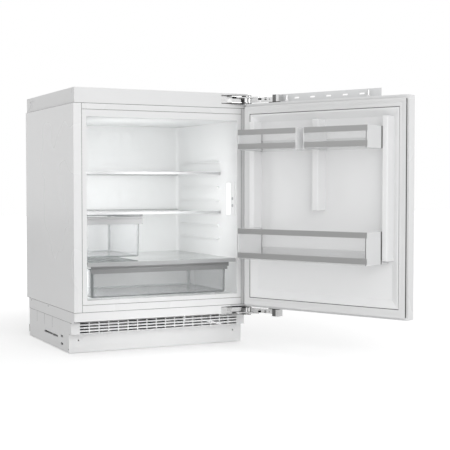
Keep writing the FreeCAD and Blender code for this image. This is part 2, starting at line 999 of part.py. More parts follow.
def small_drawer():
    """The half-width drawer under the middle shelf, and the two runners that carry it."""
    left = -size.small_left
    right = -size.small_right
    fore = front + size.small_front
    back = inner_back - size.small_back_gap
    low = cover_z + size.small_floor_gap
    rim = middle_shelf_z - size.small_rim_drop
    shift = (rim - low) * math.tan(math.radians(float(size.tub_lean)))
    tub = open_tub("SmallTub", left + shift, right - shift, fore + size.strip_thickness + shift,
                   back - shift, low, rim, size.tub_wall)
    flange = size.small_rim_width
    rim_start = fore + size.strip_thickness + size.tub_corner * CORNER_SHARE
    rim_end = back - size.tub_corner * CORNER_SHARE
    pad(tub, "XY", rim - size.tub_wall, rim,
        rectangle(left - flange, left + size.tub_wall / 2, rim_start, rim_end),
        rectangle(right - size.tub_wall / 2, right + flange, rim_start, rim_end))
    node(tub, "small_drawer_tub")
    strip_top = middle_shelf_z - size.small_strip_drop
    strip = front_strip(left - size.strip_side, right + size.strip_side, fore,
                        strip_top - size.small_strip_height, strip_top)
    node(strip, "small_drawer_strip")
    low = rim - size.tub_wall - size.running_gap * 2
    top = middle_shelf_z
    gap = size.running_gap * 2
    lips = []
    start = fore + size.strip_thickness + size.running_gap * 2
    for side, edge in ((-1, left - flange), (1, right + flange)):
        wall = edge + gap * side
        outer = wall + size.runner_wall * side
        inner = wall - size.runner_reach * side
        upright = new_body("Runner")
        profile = [
            (inner, low - size.runner_lip),
            (outer, low - size.runner_lip),
            (outer, top),
            (wall - size.runner_reach / 2 * side, top),
            (wall - size.runner_reach / 2 * side, top - size.runner_lip),
            (wall, top - size.runner_lip),
            (wall, low),
            (inner, low),
        ]
        pad(upright, "XZ", start, back, profile)
        lips.append(upright)
    node(group(*lips), "small_drawer_runners")


def bottom_drawer():
    """The full-width drawer that slides on the liner's floor ribs."""
    across = size.drawer_half
    fore = front + size.drawer_front
    back = step_y - size.drawer_back_gap
    low = floor_z + size.floor_rib_height + size.running_gap
    strip_top = cover_z - size.drawer_strip_gap
    rim = strip_top - size.drawer_rim_drop
    shift = (rim - low) * math.tan(math.radians(float(size.tub_lean)))
    tub = open_tub("BottomTub", -across + shift, across - shift,
                   fore + size.strip_thickness + shift, back - shift, low, rim, size.tub_wall)
    node(tub, "bottom_drawer_tub")
    strip = front_strip(-across, across, fore, strip_top - size.drawer_strip_height, strip_top)
    pad(strip, "YZ", across - size.seam, across + size.stop_tab_width,
        rectangle(fore + size.grip_depth, fore + size.strip_thickness,
                  strip_top - size.stop_tab_height, strip_top))
    node(strip, "bottom_drawer_strip")


# light and control unit


def light_unit():
    """The unit in the right wall: a lamp lens behind, two buttons in front."""
    start = front + size.light_front
    end = start + size.light_length
    low = light_low
    top = low + size.light_height
    face = inner_x - size.light_proud
    wall = size.light_wall
    border = size.light_border
    split = end - size.lens_length
    housing = new_body("LightHousing")
    pad(housing, "YZ", face, inner_x, rectangle(start, end, low, top))
    pad(housing, "YZ", inner_x - size.seam, inner_x + size.light_sunk,
        rectangle(start + border, end - border, low + border, top - border))
    fillet(housing, size.light_border, y=(start, end), z=(low, top))
    pocket(housing, "YZ", face - size.overrun, inner_x + size.light_sunk - wall,
           rectangle(split, end - border - wall, low + border + wall, top - border - wall))
    middle = start + border + size.button_radius + wall * 2
    temperature_z = low + size.temperature_rise
    power_z = low + size.power_rise
    bore = size.button_radius + size.running_gap
    pocket(housing, "YZ", face - size.overrun, inner_x + size.light_sunk - wall,
           (middle, temperature_z, bore), (middle, power_z, bore))
    node(housing, "light_housing")
    gap = size.shaft_gap
    lens = new_body("LightLens")
    pad(lens, "YZ", face - size.button_proud, face + wall,
        rectangle(split + gap, end - border - wall - gap,
                  low + border + wall + gap, top - border - wall - gap))
    node(lens, "light_lens")
    for label, height in (("temperature_button", temperature_z), ("power_button", power_z)):
        button = new_body("Button")
        out = face - size.button_proud - size.button_travel
        pad(button, "YZ", out, out + size.button_length, (middle, height, size.button_radius))
        bevel(button, size.button_proud, x=out)
        node(button, label)


# top frame and fascias


def top_fascia():
    """The hollow front moulding above the door opening, with the hinge's pocket."""
    across = half - size.fascia_inset
    wall = size.fascia_wall
    back = front + size.fascia_depth
    top = size.cabinet_height
    body = new_body("TopFascia")
    pad(body, "YZ", -across, across, [
        (front, top_low),
        (back, top_low),
        (back, top_low + wall),
        (front + wall, top_low + wall),
        (front + wall, top - wall),
        (back, top - wall),
        (back, top),
        (front, top),
    ])
    pad(body, "YZ", -across, -across + wall, rectangle(front, back, top_low, top))
    fillet(body, size.fold_radius, y=front, z=top)
    middle = upper_hinge_z
    tall = size.pocket_half
    seat_y = front + size.bracket_sink + size.bracket_plate
    pocket(body, "XZ", front - size.overrun, front + wall + size.seam,
           rectangle(size.pocket_left, across + size.overrun, middle - tall, middle + tall))
    pad(body, "XZ", seat_y, seat_y + wall,
        rectangle(size.pocket_left - wall, size.bracket_plate_end, top_low, top))
    pad(body, "XZ", front, seat_y + wall,
        rectangle(size.pocket_left - wall, size.pocket_left, top_low, top))
    node(body, "top_fascia")


def top_frame():
    """The moulded frame on the top sheet: an upturned tray with a recess in each side."""
    across = half - size.fascia_inset
    wall = size.frame_wall
    start = front + size.fascia_depth
    end = body_back - size.frame_back_gap
    top = size.cabinet_height
    body = new_body("TopFrame")
    pad(body, "XY", top_low, top, rectangle(-across, across, start, end))
    pocket(body, "XY", top_low - size.overrun, top - wall,
           rectangle(-across + wall, across - wall, start - size.overrun, end - wall))
    low = top_low + size.frame_recess_low
    rear = body_back - size.frame_recess_back
    window = rectangle(rear, rear + size.frame_recess_length, low, low + size.frame_recess_height)
    slot_top = top - size.front_slot_drop
    slot = rectangle(start + size.front_slot_length / 2, start + size.front_slot_length * 1.5,
                     slot_top - size.front_slot_height, slot_top)
    pocket(body, "YZ", -across - size.overrun, -across + size.frame_recess_depth, window, slot)
    pocket(body, "YZ", across - size.frame_recess_depth, across + size.overrun, window, slot)
    hole_y = front + size.fascia_depth + size.seam + size.worktop_tab_depth / 2
    holes = [(size.worktop_tab_place * side, hole_y, size.worktop_tab_hole) for side in (-1, 1)]
    pocket(body, "XY", top - wall - size.seam, top + size.overrun, *holes)
    node(body, "top_frame")


def lower_fascia():
    """The hollow strip below the opening, with the lower hinge's pocket."""
    wall = size.fascia_wall
    back = front + size.lower_fascia_depth
    top = size.base_height
    low = top - size.lower_fascia_height
    body = new_body("LowerFascia")
    pad(body, "YZ", -half, half, [
        (front, low),
        (front + wall, low),
        (front + wall, top - wall),
        (back, top - wall),
        (back, top),
        (front, top),
    ])
    pad(body, "YZ", -half, -half + wall, rectangle(front, back, low, top))
    middle = lower_hinge_z
    tall = size.pocket_half
    seat_y = front + size.bracket_sink + size.bracket_plate
    pocket(body, "XZ", front - size.overrun, front + wall + size.seam,
           rectangle(size.pocket_left, half + size.overrun, low - size.overrun, middle + tall))
    pad(body, "XZ", seat_y, seat_y + wall,
        rectangle(size.pocket_left - wall, size.bracket_plate_end, middle - tall, top))
    pad(body, "XZ", front, seat_y + wall,
        rectangle(size.pocket_left - wall, size.pocket_left, low, top))
    node(body, "lower_fascia")


# base


def base_side(label, side):
    """A moulded side of the base: skin, stiff ribs inside, a long slot and seams outside."""
    skin = size.base_skin
    low = size.base_ground_gap
    top = size.base_height
    back = body_back - size.base_back_gap
    grille_back = front + size.grille_set_back + skin
    plinth_back = front + size.plinth_set_back + size.plinth_wall
    band = top - size.base_band_height
    profile = [
        (front + size.lower_fascia_depth, top),
        (front + size.lower_fascia_depth, size.grille_top),
        (grille_back, size.grille_top),
        (grille_back, size.grille_low),
        (plinth_back, size.grille_low),
        (plinth_back, low),
        (back, low),
        (back, top),
    ]
    outer = half
    inner = half - skin
    ledge = half - size.base_ledge
    body = new_body("BaseSide")

    def across(start, end):
        return (start, end) if side > 0 else (-end, -start)

    pad(body, "YZ", *across(inner, outer), profile)
    shelf_top = size.plate_height
    shelf_low = shelf_top - size.base_ledge_height
    pad(body, "YZ", *across(ledge, inner + size.seam),
        rectangle(plinth_back, back, shelf_low, shelf_top))
    pitch = (back - plinth_back - size.base_rib * 2) / BASE_SEAM_COUNT
    ribs = []
    for step in range(BASE_SEAM_COUNT):
        start = plinth_back + size.base_rib + pitch * step
        ribs.append(rectangle(start, start + size.base_rib, shelf_top + size.overrun, top))
    pad(body, "YZ", *across(ledge + size.base_ledge_height, inner + size.seam), *ribs)
    step_in = size.base_step
    pocket(body, "YZ", *across(outer - step_in, outer + size.overrun),
           rectangle(plinth_back - size.overrun * 2, back + size.overrun,
                     low - size.overrun, band))
    slot = rectangle(front + size.base_slot_start,
                     front + size.base_slot_start + size.base_slot_length,
                     size.base_slot_low, size.base_slot_low + size.base_slot_height)
    marks = []
    for row in range(2):
        mark_low = size.mark_low + size.mark_pitch * row
        marks.append(rectangle(front + size.mark_start, front + size.mark_start + size.mark_length,
                               mark_low, mark_low + size.base_slot_height))
    pocket(body, "YZ", *across(inner - size.seam, outer + size.overrun), slot, *marks)
    seams = []
    for step in range(BASE_SEAM_COUNT):
        start = plinth_back + pitch * (step + 1)
        seams.append(rectangle(start, start + step_in, size.base_slot_low + size.mark_pitch, band))
    pocket(body, "YZ", *across(outer - step_in * 2, outer + size.overrun), *seams)
    node(body, label)


def vent_grille():
    """The air grille: rows of slots between slats, with upright bridges."""
    start = front + size.grille_set_back
    body = new_body("VentGrille")
    pad(body, "XZ", start, start + size.base_skin,
        rectangle(-half, half, size.grille_low, size.grille_top))
    usable = size.cabinet_width - size.slot_margin * 2
    count = int(float(usable) // float(size.slot_pitch))
    left = size.slot_pitch * (-count / 2) + size.slot_bridge / 2
    slots = []
    for row in range(SLOT_ROWS):
        low = size.slot_first_row + size.slot_row_pitch * row
        slots.append(rectangle(left, left + size.slot_pitch - size.slot_bridge,
                               low, low + size.slot_height))
    column = pocket(body, "XZ", start - size.overrun, start + size.base_skin + size.overrun,
                    *slots)
    pattern(body, column, size.slot_pitch, count)
    node(body, "vent_grille")


def plinth_panel():
    """The panel at the floor, folded back along its top, with a screw hole at each end."""
    start = front + size.plinth_set_back
    wall = size.plinth_wall
    low = size.base_ground_gap
    top = size.plinth_top
    body = new_body("PlinthPanel")
    pad(body, "YZ", -half, half, [
        (start, low),
        (start + wall, low),
        (start + wall, top - wall),
        (start + wall + size.plinth_fold, top - wall),
        (start + wall + size.plinth_fold, top),
        (start, top),
    ])
    fillet(body, size.fold_radius, y=start, z=top)
    pocket(body, "XZ", start - size.overrun, start + wall + size.seam,
           (-size.plinth_screw_place, size.plinth_screw_height, size.plinth_screw_hole),
           (size.plinth_screw_place, size.plinth_screw_height, size.plinth_screw_hole))
    side_gap = size.base_ledge - size.base_ledge_height + size.seam
    outside = half + size.overrun
    inside = half - side_gap
    for start_x, end_x in ((-outside, -inside), (inside, outside)):
        pocket(body, "YZ", start_x, end_x,
               rectangle(start + wall, start + wall + size.plinth_fold + size.overrun,
                         low - size.overrun, top + size.overrun))
    node(body, "plinth_panel")


def foot_places():
    """Where the four feet stand."""
    return {
        "foot_front_left": (-size.foot_x, front + size.foot_front),
        "foot_front_right": (size.foot_x, front + size.foot_front),
        "foot_back_left": (-size.foot_x, body_back - size.foot_back_gap),
        "foot_back_right": (size.foot_x, body_back - size.foot_back_gap),
    }


def base_plate():
    """The steel plate that carries the cooling unit, with bushes for the feet."""
    body = new_body("BasePlate")
    low = size.plate_height
    top = low + size.sheet * 2
    across = half - size.base_skin - size.seam
    start = front + size.plinth_set_back + size.plinth_wall + size.seam
    back = body_back - size.plate_back_gap
    pad(body, "XY", low, top, rectangle(-across, across, start, back))
    pad(body, "XZ", back - size.sheet * 2, back,
        rectangle(-across, across, low, low + size.plate_flange))
    feet = foot_places().values()
    pad(body, "XY", top, top + size.bush_height, *[(x, y, size.bush_radius) for x, y in feet])
    bore = size.foot_stem + size.shaft_gap
    pocket(body, "XY", low - size.overrun, top + size.bush_height + size.overrun,
           *[(x, y, bore) for x, y in feet])
    hole = size.inlet_radius + size.shaft_gap
    pocket(body, "XZ", back - size.overrun, back + size.overrun,
           (-size.inlet_x, low + size.plate_flange / 2 + size.sheet, hole))
    node(body, "base_plate")


def foot(label, x, y):
    """A screwed foot: the pad, a hexagon to turn it by and the stem."""
    pad_low = rod(size.foot_radius, size.foot_pad / 3, x, y, zero)
    taper = cone(size.foot_radius, size.foot_top_radius, size.foot_pad * 2 / 3, x, y,
                 size.foot_pad / 3)
    stem = rod(size.foot_stem, size.foot_stem_top - size.foot_pad / 3, x, y, size.foot_pad / 3)
    nut = doc.addObject("Part::Prism", "Nut")
    nut.Polygon = 6
    bind(nut, "Circumradius", size.foot_hex)
    bind(nut, "Height", size.foot_hex_height)
    for name, value in zip("xyz", (x, y, size.foot_pad)):
        bind(nut, f"Placement.Base.{name}", value)
    node(fuse(pad_low, taper, nut, stem), label)


# cooling unit


def compressor():
    """The welded can on its mounting plate, with the terminal cover at its side."""
    x = size.compressor_x
    y = body_back - size.compressor_back
    plate_low = size.plate_height + size.sheet * 2 + size.grommet_height
    can_low = plate_low + size.mount_plate
    can_top = can_low + size.can_height
    body = new_body("Compressor")
    dome = size.can_dome
    radius = size.can_radius
    profile = []
    for out, rise in CAN_PROFILE_SHARES:
        profile.append((radius * out, can_low + dome / 2 * rise))
    seam = can_low + size.can_height * CAN_SEAM_SHARE
    bead = size.can_seam
    profile += [
        (radius, seam),
        (radius + bead, seam),
        (radius + bead, seam + size.can_seam_height),
        (radius, seam + size.can_seam_height),
    ]
    for out, rise in reversed(CAN_PROFILE_SHARES):
        profile.append((radius * out, can_top - dome * rise))
    drawing = sketch(body, "XZ", zero, [profile])
    turned = body.newObject("PartDesign::Revolution", "Can")
    turned.Profile = drawing
    turned.ReferenceAxis = (drawing, ["V_Axis"])
    turned.Angle = 360.0
    body.Tip = turned
    doc.recompute()
    wide = size.mount_plate_half_x
    deep = size.mount_plate_half_y
    inset = size.mount_hole_inset
    holes = [((wide - inset) * sx, (deep - inset) * sy, size.grommet_neck + size.shaft_gap)
             for sx in (-1, 1) for sy in (-1, 1)]
    pad(body, "XY", plate_low, can_low + size.seam, rectangle(-wide, wide, -deep, deep), *holes)
    side = size.terminal_width / 2
    low = can_low + size.can_height * TERMINAL_RISE_SHARE
    pad(body, "YZ", -(radius + size.terminal_depth), -(radius - size.can_seam * 4),
        rectangle(-side, side, low, low + size.terminal_height))
    node(body, "compressor", FreeCAD.Placement(vector(x, y, 0), FreeCAD.Rotation()))
    rubbers = []
    for sx in (-1, 1):
        for sy in (-1, 1):
            place = (x + (wide - inset) * sx, y + (deep - inset) * sy)
            low = size.plate_height + size.sheet * 2
            pad_part = rod(size.grommet_radius, size.grommet_height, *place, low)
            neck = rod(size.grommet_neck, size.mount_plate + size.grommet_height, *place, low)
            rubbers.append(fuse(pad_part, neck))
    node(group(*rubbers), "compressor_grommets")


def evaporation_tray():
    """The open tray on top of the compressor that the melt water dries from."""
    low = (size.plate_height + size.sheet * 2 + size.grommet_height + size.mount_plate
           + size.can_height)
    top = low + size.tray_height
    x = size.compressor_x
    y = body_back - size.compressor_back
    wide = size.tray_half_x
    deep = size.tray_half_y
    wall = size.tray_wall
    body = new_body("EvaporationTray")
    pad(body, "XY", low, top, rectangle(x - wide, x + wide, y - deep, y + deep))
    fillet(body, size.tub_corner / 2, x=(x - wide, x + wide), y=(y - deep, y + deep))
    pocket(body, "XY", low + wall, top + size.overrun,
           rectangle(x - wide + wall * 2, x + wide - wall * 2, y - deep + wall * 2, y + deep - wall * 2))
    node(body, "evaporation_tray")


def eight_sides(u, v, radius):
    """The outline of a tube drawn with eight flat sides."""
    turns = [math.radians(45.0 * step + 22.5) for step in range(8)]
    return [(u + radius * math.cos(turn), v + radius * math.sin(turn)) for turn in turns]


def condenser():
    """Tubes through a stack of fins, between two end plates that stand on the base plate."""
    left = -size.condenser_left
    right = -size.condenser_right
    start = front + size.condenser_front
    end = start + size.condenser_length
    low = size.condenser_low
    top = low + size.condenser_height
    foot_z = size.plate_height + size.sheet * 2
    plates = [
        box(left, right, start, start + size.condenser_end, foot_z, top),
        box(left, right, end - size.condenser_end, end, foot_z, top),
    ]
    pitch = size.condenser_length / (FIN_COUNT + 1)
    for step in range(FIN_COUNT):
        place = start + pitch * (step + 1)
        plates.append(box(left + size.condenser_end, right - size.condenser_end, place,
                          place + size.condenser_fin, low, top - size.condenser_end))
    wide = (size.condenser_left - size.condenser_right) / TUBE_ROWS
    tall = size.condenser_height / TUBE_LAYERS
    for row in range(TUBE_ROWS):
        for layer in range(TUBE_LAYERS):
            tube = new_body("Tube")
            place = (left + wide * (row + 0.5), low + tall * (layer + 0.5))
            pad(tube, "XZ", start, end, eight_sides(*place, size.condenser_tube))
            plates.append(tube)
    node(fuse(*plates), "condenser")


def fan_frame():
    """The square frame of the fan: a round bore, a hub held by four struts, and the shaft."""
    x = -size.fan_x
    y = front + size.fan_y
    z = size.fan_z
    reach = size.fan_half
    deep = size.fan_depth
    back = size.fan_hub_back
    frame = box(x - deep / 2, x + deep / 2, y - reach, y + reach, z - reach, z + reach)
    bore = rod(size.fan_bore, deep + size.overrun * 2, x - deep / 2 - size.overrun, y, z, "X")
    stand = box(x - deep / 2, x + deep / 2, y - reach, y + reach,
                size.plate_height + size.sheet * 2, z - reach + size.seam)
    ring = cut(frame, bore)
    strut = size.fan_strut / 2
    span = size.fan_bore + size.seam * 2
    struts = [
        box(x - deep / 2, x - deep / 2 + back, y - span, y + span, z - strut, z + strut),
        box(x - deep / 2, x - deep / 2 + back, y - strut, y + strut, z - span, z + span),
    ]
    hub = rod(size.fan_hub, back, x - deep / 2, y, z, "X")
    shaft = rod(size.fan_shaft, deep - back / 2, x - deep / 2, y, z, "X")
    node(fuse(ring, stand, *struts, hub, shaft), "fan_frame")


def fan_rotor():
    """The hub with its pitched blades, turning on the frame's shaft."""
    x = -size.fan_x
    y = front + size.fan_y
    z = size.fan_z
    start = x - size.fan_depth / 2 + size.fan_hub_back + size.running_gap
    depth = size.blade_depth
    hub = Part.makeCylinder(float(size.fan_hub), float(depth), vector(start, y, z), vector(1, 0, 0))
    shape = hub
    for step in range(BLADES):
        turn = 360.0 / BLADES * step
        chord = depth * BLADE_DEPTH_SHARE
        blade = Part.makeBox(float(size.blade_thickness), float(chord),
                             float(size.blade_reach - size.fan_hub / 2))
        blade.translate(vector(-size.blade_thickness / 2, -chord / 2, size.fan_hub / 2))
        blade.rotate(vector(0, 0, 0), vector(0, 0, 1), BLADE_ANGLE)
        blade.translate(vector(start + depth / 2, y, z))
        blade.rotate(vector(start, y, z), vector(1, 0, 0), turn)
        shape = shape.fuse(blade)
    bore = Part.makeCylinder(float(size.fan_shaft + size.shaft_gap),
                             float(size.fan_depth * 2), vector(x - size.fan_depth, y, z),
                             vector(1, 0, 0))
    item = doc.addObject("Part::Feature", "FanRotor")
    item.Shape = shape.cut(bore).removeSplitter()
    node(item, "fan_rotor")


def tube_along(points, radius, bend):
    """A round tube along straight runs joined by tangent arcs."""
    edges = []
    here = points[0]
    for before, corner, after in zip(points, points[1:], points[2:]):
        into = (corner - before).normalize()
        out = (after - corner).normalize()
        turn = into.getAngle(out)
        back = bend * math.tan(turn / 2)
        start = corner - into * back
        end = corner + out * back
        pull = (out - into).normalize()
        middle = corner + pull * (bend / math.cos(turn / 2) - bend)
        edges.append(Part.LineSegment(here, start).toShape())
        edges.append(Part.Arc(start, middle, end).toShape())
        here = end
    edges.append(Part.LineSegment(here, points[-1]).toShape())
    path = Part.Wire(edges)
    ring = Part.makeCircle(radius, points[0], points[1] - points[0])
    return path.makePipeShell([Part.Wire([ring])], True, False)


def refrigerant_pipes():
    """The hot pipe to the condenser and the cold pipe up into the foam."""
    x = size.compressor_x
    y = body_back - size.compressor_back
    plate = size.plate_height + size.sheet * 2
    level = plate + size.grommet_height + size.mount_plate + size.can_height / 3
    reach = size.can_radius + size.seam
    out = x + reach + size.pipe_bend * COLD_PIPE_SHARE
    hot = [
        vector(x, y - reach, level),
        vector(x, niche_y - size.pipe_bend, level),
        vector(-size.condenser_right - size.condenser_tube * 4, niche_y - size.pipe_bend, level),
        vector(-size.condenser_right - size.condenser_tube * 4,
               front + size.condenser_front + size.condenser_length, level),
    ]
    cold = [
        vector(x + reach, y, level),
        vector(out, y, level),
        vector(out, y, niche_z - size.pipe_radius),
    ]
    shapes = [tube_along(points, float(size.pipe_radius), float(size.pipe_bend))
              for points in (hot, cold)]
    item = doc.addObject("Part::Feature", "RefrigerantPipes")
    item.Shape = Part.makeCompound(shapes)
    node(item, "refrigerant_pipes")


def mains_inlet():
    """The gland in the base plate's back flange."""
    z = size.plate_height + size.plate_flange / 2 + size.sheet
    back = body_back - size.plate_back_gap
    collar = rod(size.inlet_collar, size.sheet * 2, -size.inlet_x, back, z, "Y")
    neck = rod(size.inlet_radius, size.inlet_length, -size.inlet_x,
               back + size.sheet * 2 - size.inlet_length, z, "Y")
    bore = rod(size.inlet_bore, size.inlet_length + size.overrun * 2, -size.inlet_x,
               back - size.inlet_length - size.overrun, z, "Y")
    node(cut(fuse(collar, neck), bore), "mains_inlet")


# hinges


def layer(middle, side, low, high):
    """The heights of one layer of a hinge; side is 1 for the upper one, -1 for the lower."""
    start, end = middle + low * side, middle + high * side
    return (start, end) if side > 0 else (end, start)


def link_anchor():
    """The stud on the bracket that the link's slot rides on."""
    angle = math.radians(180.0 - LINK_START_ANGLE)
    return (size.pin_x + size.link_radius * math.cos(angle),
            pin_y + size.link_radius * math.sin(angle))


def hinge_bracket(side, middle):
    """The cabinet's half: a plate in the pocket and two arms out to the pin."""
    seat = front + size.bracket_sink
    tall = size.hinge_half
    gap = size.arm_thickness
    right = size.bracket_block
    end = size.bracket_plate_end
    plate = box(size.pocket_left + size.seam, end, seat, seat + size.bracket_plate,
                middle - tall, middle + tall)
    stud_x, stud_y = link_anchor()
    pieces = [plate]
    low, high = layer(middle, side, -tall, size.bracket_block_top)
    pieces.append(box(end - size.bracket_sink, right, front - size.bracket_block_out,
                      seat + size.bracket_plate, low, high))
    for floor, roof in ((-tall, gap - tall), (tall - gap, tall)):
        low, high = layer(middle, side, floor, roof)
        arm = new_body("HingeArm")
        pad(arm, "XY", low, high, [
            (end - size.bracket_sink * 2, seat + size.bracket_plate),
            (end - size.bracket_sink * 2, seat),
            (end - size.bracket_sink, front - size.arm_out),
            (size.pin_x - size.eye_radius / 4, pin_y - size.eye_radius),
            (size.pin_x + size.eye_radius, pin_y),
            (right, seat + size.bracket_plate),
        ])
        pieces.append(arm)
        pieces.append(rod(size.eye_radius, gap, size.pin_x, pin_y, low))
    low, high = layer(middle, side, size.link_low - size.running_gap, tall)
    pieces.append(rod(size.link_slot_stud, high - low, stud_x, stud_y, low))
    bore = rod(size.pin_radius, tall * 2 + size.overrun * 2, size.pin_x, pin_y,
               middle - tall - size.overrun)
    return cut(fuse(*pieces), bore)


def hinge_pins():
    """The two pins, riveted into the brackets' arms."""
    pins = []
    for middle in (upper_hinge_z, lower_hinge_z):
        tall = size.hinge_half
        shank = rod(size.pin_radius, tall * 2, size.pin_x, pin_y, middle - tall)
        head = rod(size.pin_head, size.pin_head_height, size.pin_x, pin_y, middle + tall)
        tail = rod(size.pin_head, size.pin_head_height, size.pin_x, pin_y,
                   middle - tall - size.pin_head_height)
        pins.append(fuse(shank, head, tail))
    node(group(*pins), "hinge_pins")


def hinge_leaf(side, middle):
    """The door's half: the eye on the pin, a bar and the block that is screwed to the door."""
    low, high = layer(middle, side, -size.leaf_low, size.leaf_top)
    door_face = door_top if side > 0 else door_low
    block_right = half - size.leaf_block_start
    block_left = block_right - size.leaf_block_length
    thick = size.leaf_bar_half
    eye = rod(size.eye_radius, high - low, size.pin_x, pin_y, low)
    bar = box(block_right - size.seam, size.pin_x, pin_y - thick * 2, pin_y, low, high)
    nose = box(size.pin_x - size.link_radius - thick, size.pin_x, pin_y - thick, pin_y + thick / 2,
               low, high)
    block_ends = (door_face, middle + size.leaf_block_top * side)
    floor, roof = block_ends if side > 0 else block_ends[::-1]
    middle_y = pin_y - thick
    block = box(block_left, block_right, middle_y - size.leaf_block_half,
                middle_y + size.leaf_block_half, floor, roof)
    foot_ends = (door_face, middle - size.leaf_low * side)
    foot_low, foot_high = foot_ends if side > 0 else foot_ends[::-1]
    foot_part = box(block_right - size.seam, block_right + size.leaf_foot, middle_y - thick,
                    middle_y + thick, foot_low, foot_high + size.seam if side > 0 else foot_high)
    stud_low, stud_high = layer(middle, side, size.leaf_top - size.seam,
                                size.link_low + size.link_thickness + size.running_gap)
    stud = rod(size.link_stud, stud_high - stud_low, size.pin_x - size.link_radius, pin_y, stud_low)
    pieces = [eye, bar, nose, block, foot_part, stud]
    bore = rod(size.pin_radius + size.shaft_gap, high - low + size.overrun * 2, size.pin_x, pin_y,
               low - size.overrun)
    sink = size.leaf_screw_head + size.shaft_gap
    sink_low = roof - size.leaf_screw_sink if side > 0 else floor - size.overrun
    holes = [bore, rod(sink, size.leaf_screw_sink + size.overrun,
                       block_left + size.leaf_block_length / 2, middle_y, sink_low)]
    holes.append(rod(size.leaf_screw + size.shaft_gap, roof - floor + size.overrun * 2,
                     block_left + size.leaf_block_length / 2, middle_y, floor - size.overrun))
    for step in range(2):
        place = block_right + size.leaf_hole_step * (step + 1)
        holes.append(rod(size.leaf_hole, thick * 2 + size.overrun * 2, place,
                         pin_y - thick * 2 - size.overrun, (low + high) / 2, "Y"))
    return cut(fuse(*pieces), *holes)


def leaf_screws():
    """The screws that hold the two leaves on the door."""
    screws = []
    thick = size.leaf_bar_half
    x = half - size.leaf_block_start - size.leaf_block_length / 2
    y = pin_y - thick
    for side, middle in ((1, upper_hinge_z), (-1, lower_hinge_z)):
        top = middle + (size.leaf_block_top - size.leaf_screw_sink) * side
        end = (door_top if side > 0 else door_low)
        low, high = (end, top) if side > 0 else (top, end)
        shank = rod(size.leaf_screw, high - low, x, y, low)
        head_low = top if side > 0 else top - size.leaf_screw_sink + size.seam
        head = rod(size.leaf_screw_head, size.leaf_screw_sink - size.seam, x, y, head_low)
        screws.append(fuse(shank, head))
    node(group(*screws), "leaf_screws", swing)


def hinge_link(side, middle):
    """The slotted control link: it turns on the leaf's stud and slides on the bracket's stud."""
    stud_x, stud_y = link_anchor()
    here_x = size.pin_x - size.link_radius
    turned = OPEN_ANGLE + LINK_START_ANGLE
    reach = size.link_radius * 2 * math.sin(math.radians(turned / 2))
    near = size.link_radius * 2 * math.sin(math.radians(LINK_START_ANGLE / 2))
    low, high = layer(middle, side, size.link_low, size.link_low + size.link_thickness)
    wide = size.link_half
    slot = size.link_slot_stud + size.running_gap
    bar = [
        box(zero, reach + slot, -wide, wide, low, high),
        rod(wide, high - low, zero, zero, low),
        rod(wide, high - low, reach + slot, zero, low),
    ]
    holes = [
        rod(size.link_stud + size.shaft_gap, high - low + size.overrun * 2, zero, zero,
            low - size.overrun),
        box(near, reach, -slot, slot, low - size.overrun, high + size.overrun),
        rod(slot, high - low + size.overrun * 2, near, zero, low - size.overrun),
        rod(slot, high - low + size.overrun * 2, reach, zero, low - size.overrun),
    ]
    closed_direction = math.degrees(math.atan2(float(stud_y - pin_y), float(stud_x - here_x)))
    at_stud = FreeCAD.Placement(vector(here_x, pin_y, 0),
                                FreeCAD.Rotation(vector(0, 0, 1), closed_direction))
    half_back = FreeCAD.Placement(vector(0, 0, 0),
                                  FreeCAD.Rotation(vector(0, 0, 1), -OPEN_ANGLE / 2),
                                  vector(here_x, pin_y, 0))
    link = cut(fuse(*bar), *holes)
    link.Placement = half_back.multiply(at_stud)
    return link


# door

shell_inner = front - size.gasket_gap - size.gasket_thickness
shell_outer = shell_inner - size.door_thickness
band_x = half - size.gasket_band
gasket_low = size.base_height + size.rim_drop
gasket_top = top_low + size.gasket_over
band_low = gasket_low + size.gasket_band
band_top = gasket_top - size.gasket_band
field_y = front - size.gasket_gap - size.rim_drop - size.field_drop


def door_shell():
    """The pressed pan that is the outside of the door."""
    body = new_body("DoorShell")
    skin = size.sheet
    pad(body, "XZ", shell_outer, shell_inner, rectangle(-half, half, door_low, door_top))
    fillet(body, size.door_edge_round, x=(half, -half), z=(door_low, door_top))
    pocket(body, "XZ", shell_outer + skin, shell_inner + size.overrun,
           rectangle(-half + skin, half - skin, door_low + skin, door_top - skin))
    # slots and screw holes in the lower edge, for the furniture panel's fittings
    y = shell_inner - size.low_row_inset
    reach = size.low_slot_half
    wide = size.low_slot_radius
    slots = []
    holes = []
    for step in (-1, 0, 1):
        place = size.low_slot_place + size.low_slot_pitch * step
        slots.append(rectangle(place - reach, place + reach, y - wide, y + wide))
        holes.append((-size.low_hole_place + size.low_hole_pitch * step, y, size.low_hole_radius))
    pocket(body, "XY", door_low - size.overrun, door_low + skin + size.seam,
           *slots, *holes)
    node(body, "door_shell", swing)


def door_face(name, inset):
    """The raised middle of the door's inner face around its bevelled field, set in by a skin."""
    side = band_x - size.seam - inset
    low = band_low + size.seam + inset
    top = band_top - size.seam - inset
    face = front - size.gasket_gap - size.rim_drop - inset
    raised = new_body(name)
    pad(raised, "XZ", shell_inner - size.liner_thickness, face, rectangle(-side, side, low, top))
    rim = size.rim_width + size.bevel_width
    lean = math.degrees(math.atan(float(size.bevel_width) / float(size.field_drop)))
    field = new_body(name + "Field")
    pad(field, "XZ", face - size.field_drop, face,
        rectangle(-side + rim, side - rim, low + rim, top - rim),
        lean=Size(lean, f"atan({text_of(size.bevel_width / size.field_drop)})"))
    return cut(raised, field)


